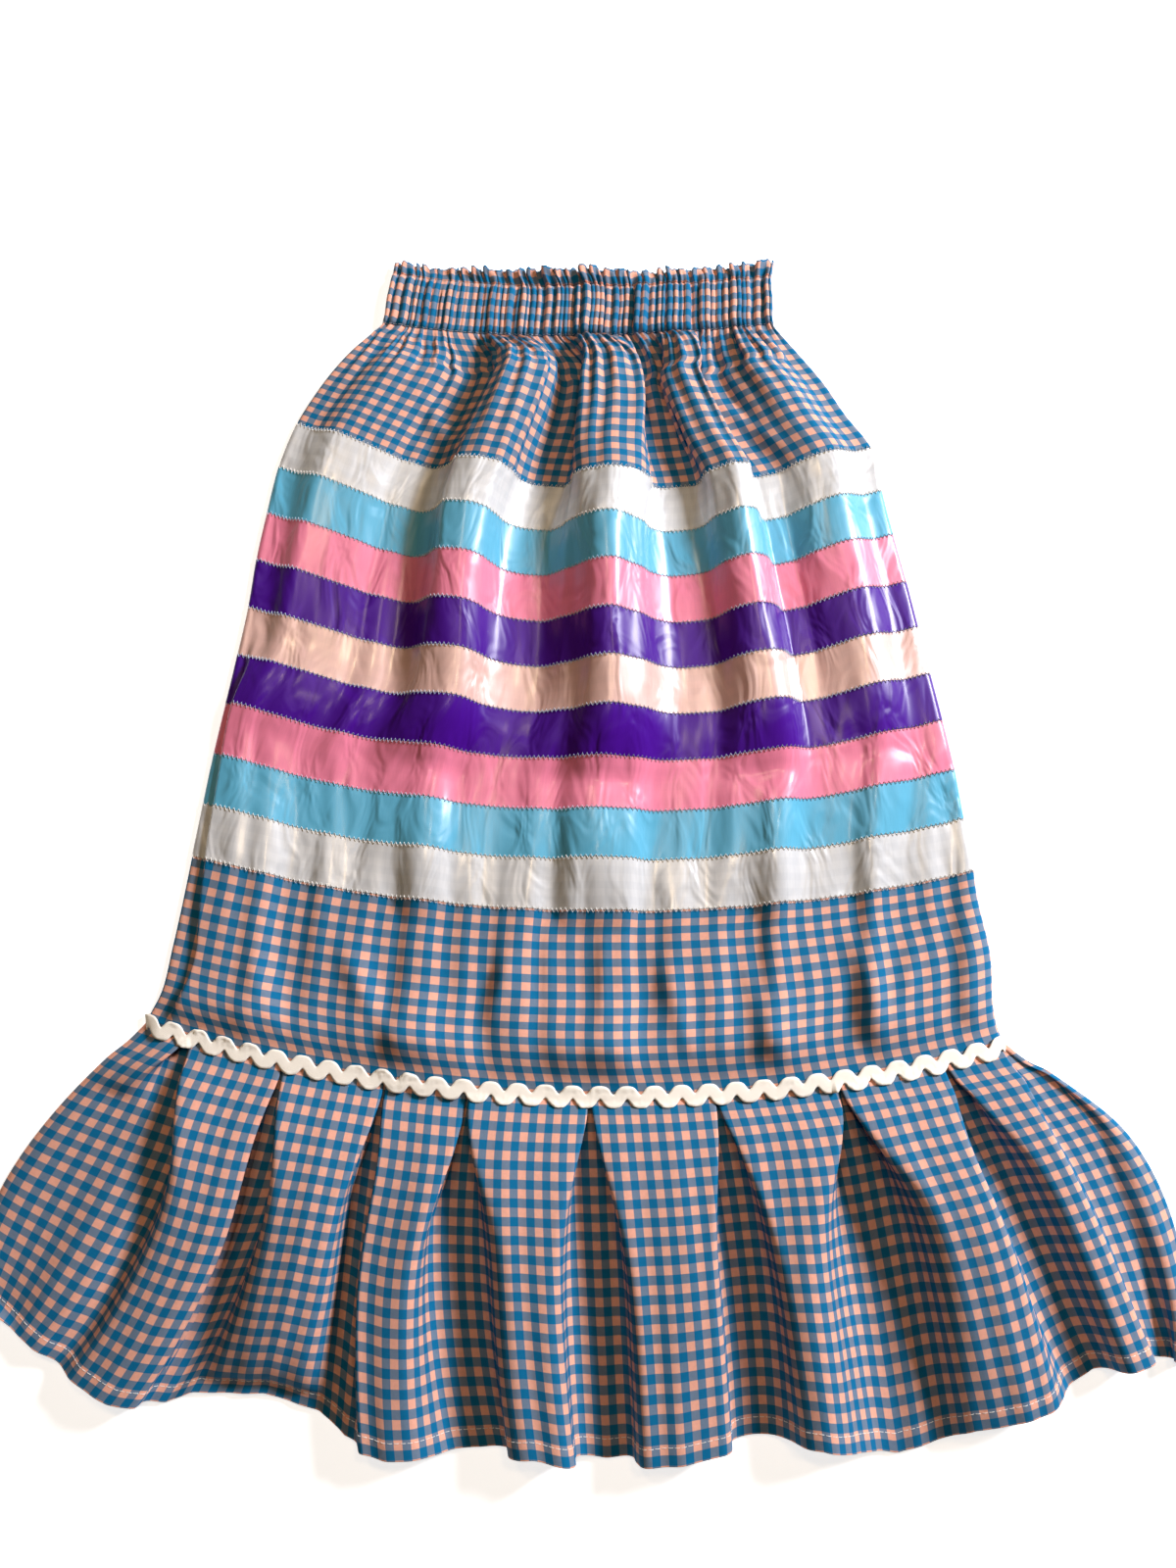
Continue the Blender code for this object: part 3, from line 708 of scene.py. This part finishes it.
def checkFactor(material, split, across, down):
    # 1 on blue squares, 0 on pink ones, a half where warp and weft differ
    stripes = []
    for axis, period in enumerate((across, down)):
        turns = addNode(material, "Math", times | {1: perMetre / period}, {0: split.outputs[axis]})
        wave = addNode(material, "Math", sine, {0: turns})
        sharp = addNode(material, "Math", timesAdd | {1: gingham["edge"], 2: 0.5}, {0: wave})
        stripes.append(addNode(material, "Clamp", links={0: sharp}))
    both = addNode(material, "Math", add, dict(enumerate(stripes)))
    return addNode(material, "Math", times | {1: 0.5}, {0: both})


def makeGingham(name, across, down):
    # yarn-dyed cotton gingham: a dry matte face, where solid squares of both colours meet squares
    # that mix them yarn by yarn
    material, shader = newMaterial(name, gingham["surface"])
    uv = addNode(material, "UVMap", {"uv_map": "cut"})
    split = addNode(material, "SeparateXYZ", links={0: uv})
    ramp = addNode(material, "ValToRGB", links={0: checkFactor(material, split, across, down)})
    setRamp(ramp, (0.0, fromHex(gingham["pink"])), (1.0, fromHex(gingham["blue"])))
    ramp.color_ramp.elements.new(0.5).color = fromHex(gingham["mixed"])
    # the weave shows as a fine rib both ways
    yarns = []
    for axis in (0, 1):
        fine = times | {1: perMetre / gingham["yarn"]}
        turns = addNode(material, "Math", fine, {0: split.outputs[axis]})
        yarns.append(addNode(material, "Math", sine, {0: turns}))
    weave = addNode(material, "Math", times, dict(enumerate(yarns)))
    slub = addNode(material, "TexNoise", flatNoise | {"Scale": 420, "Detail": 3}, {"Vector": uv})
    ribs = addNode(material, "Math", timesAdd | {1: 0.03, 2: 0.92}, {0: weave})
    light = addNode(material, "Math", timesAdd | {1: 0.16}, {0: slub, 2: ribs})
    grey = addNode(material, "CombineColor", links={0: light, 1: light, 2: light})
    tinted = addNode(material, "Mix", multiplied | {"Factor": 1.0}, {"A": ramp, "B": grey})
    bump = addNode(material, "Bump", {"Strength": 0.25, "Distance": 0.0002}, {"Height": weave})
    links = {"Base Color": tinted.outputs["Result"], "Normal": bump}
    setNode(material, shader, {}, links)
    return material


bodyGingham = makeGingham("wovenGinghamCotton", gingham["across"], gingham["down"])
ruffleGingham = makeGingham("crossGrainGinghamCotton", gingham["down"], gingham["across"])

satin = {
    "float": 1.3,  # between the soft streaks of its long floats; 0.1 mm yarns are too fine to show
    "dimple": 22.0,  # between soft dents in the laid band
    "distortion": 0.65,
    "specular": 0.6,
    "surface": {"Anisotropic": 0.6, "IOR": 1.55, "Coat Roughness": 0.20, "Coat IOR": 1.45},
    "check": "#7f96ae",  # what the panel's check does to a pale band over it
}
# material, colour, how much shine, how much of the check shows through, slot
ribbonKinds = {
    "white": ("whitePolyesterSatin", "#cfd0d0", 1.0, 0.12, "satin_white"),
    "lightBlue": ("lightBluePolyesterSatin", "#5aa9c8", 0.40, 0.0, "satin_light_blue"),
    "pink": ("pinkPolyesterSatin", "#e5809c", 0.40, 0.05, "satin_pink"),
    "purple": ("purplePolyesterSatin", "#430d87", 0.24, 0.0, "satin_purple"),
    "blush": ("blushPolyesterSatin", "#d8b0a6", 0.9, 0.08, "satin_blush"),
}


def makeSatin(name, color, shine, shows):
    # woven polyester satin ribbon: its floats run along the band, so light draws out across it
    # into wet, bright lines on every fold, and the coat gives the crisp line at a fold's top
    gloss = {"Specular IOR Level": shine * satin["specular"], "Coat Weight": shine}
    material, shader = newMaterial(name, satin["surface"] | gloss)
    uv = addNode(material, "UVMap", {"uv_map": "cut"})
    squeeze = addNode(material, "Mapping", {"Scale": (1.0, 0.12, 1.0)}, {"Vector": uv})
    grain = flatNoise | {"Scale": 1000 / satin["float"], "Detail": 2.0}
    streaks = addNode(material, "TexNoise", grain, {"Vector": squeeze})
    drop = addNode(material, "Mapping", {"Scale": (1.0, 0.45, 1.0)}, {"Vector": uv})
    grain = flatNoise | {"Scale": 1000 / satin["dimple"], "Detail": 2.0}
    grain["Distortion"] = satin["distortion"]
    dents = addNode(material, "TexNoise", grain, {"Vector": drop})
    ramp = addNode(material, "ValToRGB", links={0: streaks})
    setRamp(ramp, (0.3, shaded(color, 0.97)), (0.7, shaded(color, 1.02)))
    colorOut = ramp.outputs[0]
    if shows:
        split = addNode(material, "SeparateXYZ", links={0: uv})
        check = checkFactor(material, split, gingham["across"], gingham["down"])
        share = addNode(material, "Math", times | {1: shows}, {0: check})
        tint = addNode(material, "Mix", multiplied, {"Factor": share, "A": colorOut})
        tint.inputs["B"].default_value = fromHex(satin["check"])
        colorOut = tint.outputs["Result"]
    rough = addNode(material, "MapRange", {"To Min": 0.30, "To Max": 0.40}, {"Value": streaks})
    fine = addNode(material, "Bump", {"Strength": 0.07, "Distance": 0.0002}, {"Height": streaks})
    deep = {"Strength": 1.0, "Distance": 0.0028}
    soft = addNode(material, "Bump", deep, {"Height": dents, "Normal": fine})
    tangent = addNode(material, "Tangent", {"direction_type": "UV_MAP", "uv_map": "cut"})
    links = {"Base Color": colorOut, "Roughness": rough, "Normal": soft, "Tangent": tangent}
    setNode(material, shader, {}, links)
    return material


satinMaterials = {key: makeSatin(*kind[:4]) for key, kind in ribbonKinds.items()}


def makeThread(name, color):
    # spun polyester thread: soft matte with a slight shine on its twist
    material, shader = newMaterial(name, {"Roughness": 0.6})
    place = addNode(material, "TexCoord").outputs["Object"]
    fuzz = addNode(material, "TexNoise", {"Scale": 1500.0, "Detail": 2.0}, {"Vector": place})
    ramp = addNode(material, "ValToRGB", links={0: fuzz})
    setRamp(ramp, (0.0, shaded(color, 0.82)), (1.0, fromHex(color)))
    setNode(material, shader, {}, {"Base Color": ramp})
    return material


def makeBraid(name, color):
    # woven cotton rick-rack: chalky, with fine ribs along the band
    material, shader = newMaterial(name, {"Roughness": 0.85})
    uv = addNode(material, "UVMap", {"uv_map": "cut"})
    split = addNode(material, "SeparateXYZ", links={0: uv})
    ribTurns = times | {1: perMetre / rickRack["rib"]}
    turns = addNode(material, "Math", ribTurns, {0: split.outputs[1]})
    ribs = addNode(material, "Math", sine, {0: turns})
    low = addNode(material, "Math", times | {1: 0.06}, {0: ribs})
    fuzz = addNode(material, "TexNoise", flatNoise | {"Scale": 900, "Detail": 3}, {"Vector": uv})
    mix = addNode(material, "Math", timesAdd | {1: 0.25}, {0: fuzz, 2: low})
    ramp = addNode(material, "ValToRGB", links={0: mix})
    setRamp(ramp, (0.0, shaded(color, 0.86)), (0.18, fromHex(color)))
    bump = addNode(material, "Bump", {"Strength": 0.35, "Distance": 0.0003}, {"Height": mix})
    setNode(material, shader, {}, {"Base Color": ramp, "Normal": bump})
    return material


rickRack = {
    "wave": 18.85,
    "swing": 2.9,
    "band": 9.5,
    "lean": 2.0,
    "thick": 0.9,
    "rib": 1.1,
    "over": 0.5,  # clear of the cloth below it
    "crown": 0.15,  # how much higher its middle is than its edges
    "seamFade": 13,
    "endFade": 4,
}
braidMaterial = makeBraid("creamCottonRickRack", "#fdf7ea")
whiteThread = makeThread("whitePolyesterThread", "#f2efe8")
paleThread = makeThread("palePolyesterThread", "#bccbdc")
print("materials made")


def inFrame(x, y, z):
    return ((x - originX) * mm, (y - originY) * mm, z * mm)


def flatCut(columns, levels, halfWidth):
    # a flat grid as wide as the cut, with its rows at the depths of cloth wanted
    mesh = bmesh.new()
    rows = len(levels) - 1
    bmesh.ops.create_grid(mesh, x_segments=columns, y_segments=rows, size=0.5)
    for vert in mesh.verts:
        down = np.interp((0.5 - vert.co.y) * rows, np.arange(len(levels)), levels)
        vert.co = (-halfWidth + 2 * halfWidth * (vert.co.x + 0.5), -down, 0)
    return mesh


def crossEdges(mesh, wanted):
    # edges that run straight across the cut, both of whose ends are wanted
    return [
        edge
        for edge in mesh.edges
        if abs(edge.verts[0].co.y - edge.verts[1].co.y) < 1e-6 and all(map(wanted, edge.verts))
    ]


def finerLeft(mesh, cuts):
    # more columns where the side crease folds the cloth sharply
    last = -body["cloth"] / 2 + 45
    wide = crossEdges(mesh, lambda vert: vert.co.x <= last)
    bmesh.ops.subdivide_edges(mesh, edges=wide, cuts=cuts, use_grid_fill=True)


def addObject(name, mesh, material):
    data = bpy.data.meshes.new(name)
    mesh.to_mesh(data)
    mesh.free()
    data.materials.append(material)
    made = bpy.data.objects.new(name, data)
    bpy.context.scene.collection.objects.link(made)
    return made


def finishPiece(name, mesh, material, wall=None):
    piece = addObject(name, mesh, material)
    if wall:
        shell = piece.modifiers.new("clothWall", "SOLIDIFY")
        shell.thickness = wall * mm
    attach(piece, "root")
    return piece


def writeCut(mesh, cutAt):
    # the UV in metres of cloth, worked out while the piece is still flat
    layer = mesh.loops.layers.uv.new("cut")
    for face in mesh.faces:
        face.smooth = True
        for loop in face.loops:
            loop[layer].uv = cutAt(loop.vert.co)


def layPiece(name, mesh, sheet, lift, material, wall, upward, uScale=None):
    # moves every point of the flat cut to where that cloth lies
    writeCut(mesh, lambda co: (co.x * mm, co.y * mm))
    verts = list(mesh.verts)
    u = np.array([vert.co.x for vert in verts])
    v = -np.array([vert.co.y for vert in verts])
    if uScale is not None:
        u = uScale(u, v)
    placed = sheet.at(u, v, lift(u, v) if callable(lift) else lift)
    for vert, point in zip(verts, placed):
        vert.co = inFrame(*point)
    if not upward:
        bmesh.ops.reverse_faces(mesh, faces=mesh.faces[:])
    return finishPiece(name, mesh, material, wall)


def stretchToHalf(u, v):
    # the cut is a little wider than 570 near the ruffle, where more of the tube shows
    half = np.interp(v, bodyVs, bodyHalves)
    return u * half / (body["cloth"] / 2)


def standFor(piece, node):
    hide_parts(node)
    return piece


half = body["cloth"] / 2
cottonWall = 0.45
bodySides = (("front", frontSheet, True), ("back", backSheet, False))
ruffleSides = (("front", ruffleFrontSheet, True), ("back", ruffleBackSheet, False))
panelCuts = {
    "front": {"columns": 190, "rows": ((0, 138, 3.0), (138, 603, 5.0)), "fineTo": 135, "left": 2},
    "back": {"columns": 150, "rows": ((0, 135, 4.0), (135, 603, 7.0)), "fineTo": None, "left": 0},
}
for side, sheet, upward in bodySides:
    panel = panelCuts[side]
    cut = flatCut(panel["columns"], depths(*panel["rows"], last=[body["seam"]]), half)
    if panel["fineTo"]:
        fineTo = panel["fineTo"] + 0.01
        gathered = crossEdges(cut, lambda vert: -vert.co.y <= fineTo)
        bmesh.ops.subdivide_edges(cut, edges=gathered, cuts=1, use_grid_fill=True)
        finerLeft(cut, panel["left"])
    name = f"{side}PanelCloth"
    cloth = layPiece(name, cut, sheet, 0.0, bodyGingham, cottonWall, upward, stretchToHalf)
    standFor(cloth, f"{side}_panel")
print("panels made")

# the casing and its heading run on from the panels
waistSet = {"columns": 434, "lift": 0.1, "proud": 1.0}
waistCuts = {  # from and to, and how many rows
    "Casing": (-body["casing"], 0, 14),
    "Frill": (-body["heading"], -body["casing"], 6),
}


def casingLift(u, v):
    # the casing is a tube of two layers over elastic, so it stands proud between its two seams
    arch = np.clip(np.sin(math.pi * np.clip(-v / body["casing"], 0, 1)), 0, 1)
    return waistSet["lift"] + waistSet["proud"] * arch**0.35


for side, sheet, upward in bodySides:
    for part, (top, bottom, rows) in waistCuts.items():
        lift = casingLift if (side, part) == ("front", "Casing") else waistSet["lift"]
        cut = flatCut(waistSet["columns"], np.linspace(top, bottom, rows + 1), half)
        name = f"waist{part}{side.title()}"
        cloth = layPiece(name, cut, sheet, lift, bodyGingham, cottonWall, upward)
        standFor(cloth, f"waist_{part.lower()}_{side}")
print("waist made")

# nine ribbons round the body, edge to edge
ribbonSet = {
    "top": 130.0,
    "width": 38.1,
    "lift": 0.45,
    "wall": 0.35,
    "columns": {"front": 380, "back": 120},
    "rows": [0.12, 0.3, 1.5, 4.5, 9, 14, 19, 24, 29, 33.6, 36.6, 37.8, 37.98],
    "pucker": 0.16,  # where the stitches draw its edges down, and how far in that reaches
    "puckerReach": 3.0,
}
bandColors = ["white", "lightBlue", "pink", "purple"]
for side, sheet, upward in bodySides:
    for index, color in enumerate([*bandColors, "blush", *bandColors[::-1]]):
        top = ribbonSet["top"] + index * ribbonSet["width"]
        cut = flatCut(ribbonSet["columns"][side], top + np.array(ribbonSet["rows"]), half)
        if side == "front":
            finerLeft(cut, 1)

        def ribbonLift(u, v, top=top, index=index):
            edge = np.minimum(v - top, top + ribbonSet["width"] - v)
            near = np.exp(-edge / ribbonSet["puckerReach"])
            waves = np.sin(u / 1.35 + index) * np.sin(u / 7.1 + 2 * index)
            return ribbonSet["lift"] + ribbonSet["pucker"] * waves * near

        name, wall = f"{side}Ribbon{index + 1}", ribbonSet["wall"]
        cloth = satinMaterials[color]
        ribbon = layPiece(name, cut, sheet, ribbonLift, cloth, wall, upward, stretchToHalf)
        standFor(ribbon, f"ribbon_{side}_{index + 1}")
print("ribbons made")

# the ruffle, cut across the grain
ruffleHalf = ruffleCloth / 2
ruffleCut = {
    "columns": {"front": 640, "back": 360},
    "rows": ((0, 30, 3.0), (30, 216, 5.0)),
    "hemRows": [217.0, 218.2, 219.5, 224.0, 229.6, 230.0],
    "hemLift": 0.35,
    "hemEdge": 1.5,
}


def hemLift(u, v):
    # the turned hem is three layers thick
    turned = ruffle["depth"] - ruffle["turned"]
    return ruffleCut["hemLift"] * ease((v - turned) / ruffleCut["hemEdge"])


for side, sheet, upward in ruffleSides:
    levels = depths(*ruffleCut["rows"], last=ruffleCut["hemRows"])
    cut = flatCut(ruffleCut["columns"][side], levels, ruffleHalf)
    name = f"ruffle{side.title()}Cloth"
    cloth = layPiece(name, cut, sheet, hemLift, ruffleGingham, cottonWall, upward)
    standFor(cloth, f"ruffle_{side}")
print("ruffle made")

# rick-rack over the ruffle seam
seamLength = seamLine[1][-1]
cellSize = 2
topCells = {}
nearSeam = (ruffleFrontPoints[ruffleVs < 16], frontPoints[bodyVs > 588])
for x, y, z in np.concatenate([points.reshape(-1, 3) for points in nearSeam]):
    cell = (int(x // cellSize), int(y // cellSize))
    topCells[cell] = max(topCells.get(cell, 0), z)


def clothTop(x, y):
    # the highest cloth under the band about here; it bridges small dips
    column, row = int(x // cellSize), int(y // cellSize)
    around = [topCells.get((column + i, row + j), 0) for i in range(-2, 3) for j in (-1, 0, 1)]
    return min(max(around), 14)


def braidHeight(x, y, across, edge):
    seamTop = body["base"] + body["seamLift"] * ease(edge / rickRack["seamFade"]) + 0.9
    crown = rickRack["crown"] * (1 - (2 * across) ** 2)
    z = max(seamTop, clothTop(x, y)) + rickRack["over"] + crown
    if edge < rickRack["endFade"]:
        z = 1.2 + (z - 1.2) * math.sqrt(max(0.0, 1 - (1 - edge / rickRack["endFade"]) ** 2))
    return z


def braidMesh(side):
    waves = round(seamLength / rickRack["wave"])
    mesh = bmesh.new()
    bmesh.ops.create_grid(mesh, x_segments=waves * 16, y_segments=6, size=0.5)
    writeCut(mesh, lambda co: ((co.x + 0.5) * seamLength * mm, co.y * rickRack["band"] * mm))
    for vert in mesh.verts:
        run, across = (vert.co.x + 0.5) * seamLength, vert.co.y
        turn = 2 * math.pi * run / rickRack["wave"]
        x, y = alongLine(seamLine, run)
        # the band keeps its width round each bend, so its lobes are round and its dips narrow
        wide = rickRack["band"] * (0.94 + 0.24 * math.cos(turn) ** 2)
        y += rickRack["swing"] * math.sin(turn) + across * wide
        x -= rickRack["lean"] * math.cos(turn) * across
        edge = min(run, seamLength - run)
        vert.co = inFrame(x, y, braidHeight(x, y, across, edge) if side == "front" else 0.1)
    if side == "back":
        bmesh.ops.reverse_faces(mesh, faces=mesh.faces[:])
    return mesh


for side in ("front", "back"):
    braid = finishPiece(f"{side}RickRack", braidMesh(side), braidMaterial, rickRack["thick"])
    standFor(braid, f"rickrack_{side}")
print("rick-rack made")

# a thread's four corners round its middle: to its side, and away from the cloth
threadCorners = ((1, 0), (0, 1), (-1, 0), (0, -0.6))


def layThread(mesh, points, facing, thick):
    # a grid rolled into a four-sided strand through the points
    ahead = np.gradient(points, axis=0)
    ahead /= np.linalg.norm(ahead, axis=1, keepdims=True)
    aside = np.cross(ahead, facing)
    aside /= np.linalg.norm(aside, axis=1, keepdims=True)
    last = len(points) - 1
    grid = bmesh.ops.create_grid(mesh, x_segments=4, y_segments=last, size=0.5)
    for vert in grid["verts"]:
        a, b = threadCorners[round((vert.co.x + 0.5) * 4) % 4]
        row = round((vert.co.y + 0.5) * last)
        vert.co = inFrame(*(points[row] + (aside[row] * a + facing[row] * b) * thick / 2))


def sewnPiece(name, runs, thick, material):
    mesh = bmesh.new()
    for points, facing in runs:
        layThread(mesh, points, facing, thick)
    bmesh.ops.remove_doubles(mesh, verts=mesh.verts[:], dist=1e-7)
    ends = [edge for edge in mesh.edges if edge.is_boundary]
    bmesh.ops.holes_fill(mesh, edges=ends, sides=4)
    bmesh.ops.recalc_face_normals(mesh, faces=mesh.faces[:])
    piece = finishPiece(name, mesh, material)
    return piece


def onSheet(sheet, u, v, lift):
    points = sheet.at(u, v, lift)
    above = sheet.at(u, v, np.asarray(lift) + 1.0)
    return points, above - points


zigzag = {"pitch": 3.4, "swing": 1.5, "thick": 0.6, "lift": 0.8}
zigzagSeams = {"white": (whiteThread, (0, 1, 8, 9)), "teal": (paleThread, (2, 3, 4, 5, 6, 7))}
zigzagPieces = {"front": [], "back": []}
for side, sheet, _ in bodySides:
    for name, (thread, seams) in zigzagSeams.items():
        count = int(body["cloth"] / zigzag["pitch"] * 2)
        u = np.linspace(-half + 1, half - 1, count)
        swing = zigzag["swing"] * np.where(np.arange(count) % 2 == 0, -1.0, 1.0)
        runs = []
        for seam in seams:
            v = ribbonSet["top"] + seam * ribbonSet["width"] + swing
            runs.append(onSheet(sheet, stretchToHalf(u, v), v, zigzag["lift"]))
        name = f"{side}Zigzag{name.title()}"
        sewn = sewnPiece(name, runs, zigzag["thick"], thread)
        zigzagPieces[side].append(sewn)
print("zigzag sewn")

hemSewing = {"above": 11.0, "stitch": 3.2, "gap": 1.1, "lift": [0.25, 0.6, 0.25], "ends": (2, 5)}
casingSewing = {"inside": 0.8, "stitch": 4.0, "gap": 1.2, "lift": [0.1, 0.4, 0.1], "ends": (2, 6)}
stitchThick = 0.4


def straightStitches(sheet, v, halfWidth, sewing):
    # stitches in a line across the cloth, each dipping in at both ends
    runs = []
    start = -halfWidth + sewing["ends"][0]
    while start < halfWidth - sewing["ends"][1]:
        u = np.array([start, start + 0.5 * sewing["stitch"], start + sewing["stitch"]])
        runs.append(onSheet(sheet, u, np.full(3, v), np.array(sewing["lift"])))
        start += sewing["stitch"] + sewing["gap"]
    return runs


for side, sheet, _ in ruffleSides:
    runs = straightStitches(sheet, ruffle["depth"] - hemSewing["above"], ruffleHalf, hemSewing)
    name = f"hemStitch{side.title()}"
    sewnPiece(name, runs, stitchThick, whiteThread)
print("hem sewn")

for side, sheet, _ in bodySides:
    runs = []
    for v in (-casingSewing["inside"], -body["casing"] + casingSewing["inside"]):
        runs += straightStitches(sheet, v, half, casingSewing)
    name = f"casingStitch{side.title()}"
    sewnPiece(name, runs, stitchThick, paleThread)
print("casing sewn")

floorSurface = {
    "Base Color": fromHex("#fdfdfd"),
    "Roughness": 0.9,
    "Emission Color": fromHex("#ffffff"),
    "Emission Strength": 0.72,
}
floorMesh = bmesh.new()
bmesh.ops.create_grid(floorMesh, x_segments=1, y_segments=1, size=6.0)
floorMaterial, _ = newMaterial("paleMattePaint", floorSurface)
floor = addObject("tableTop", floorMesh, floorMaterial)
floor.location.z = -0.0005

world = bpy.data.worlds.new("studio")
bpy.context.scene.world = world
world.use_nodes = True
background = world.node_tree.nodes["Background"]
background.inputs["Color"].default_value = fromHex("#eef1f6")
background.inputs["Strength"].default_value = 0.015
bpy.context.scene.view_settings.view_transform = "Standard"


def addLight(name, place, size, power, color):
    # a soft light aimed at the skirt's middle
    data = bpy.data.lights.new(name, "AREA")
    data.shape = "RECTANGLE"
    data.size, data.size_y = size
    data.energy = power
    data.color = fromHex(color)[:3]
    light = bpy.data.objects.new(name, data)
    light.location = place
    light.rotation_euler = (-Vector(place)).to_track_quat("-Z", "Y").to_euler()
    bpy.context.scene.collection.objects.link(light)


addLight("coolWindow", (1.97, 1.08, 1.40), (0.50, 0.60), 118, "#f8f8ff")
bulbs = {"height": 1.9, "size": (0.16, 0.16), "color": "#ffdfb4"}
bulbPlaces = ((-0.42, 0.85, 4.6), (0.36, 0.55, 4.6), (-0.12, 0.22, 3.2))  # x, y and watts
for index, (x, y, power) in enumerate(bulbPlaces):
    place = (x, y, bulbs["height"])
    addLight(f"warmBulb{index + 1}", place, bulbs["size"], power, bulbs["color"])

cameraSet = {"tilt": 11.0, "far": 0.833, "lens": 26.0}
tilt = math.radians(cameraSet["tilt"])
target = Vector((-originX * mm, -originY * mm, 0))
camera = bpy.data.objects.new("photoCamera", bpy.data.cameras.new("photoCamera"))
camera.data.lens = cameraSet["lens"]
camera.location = target + Vector((0, -math.sin(tilt), math.cos(tilt))) * cameraSet["far"]
camera.rotation_euler = (tilt, 0, 0)
bpy.context.scene.collection.objects.link(camera)
bpy.context.scene.camera = camera
print("studio set")
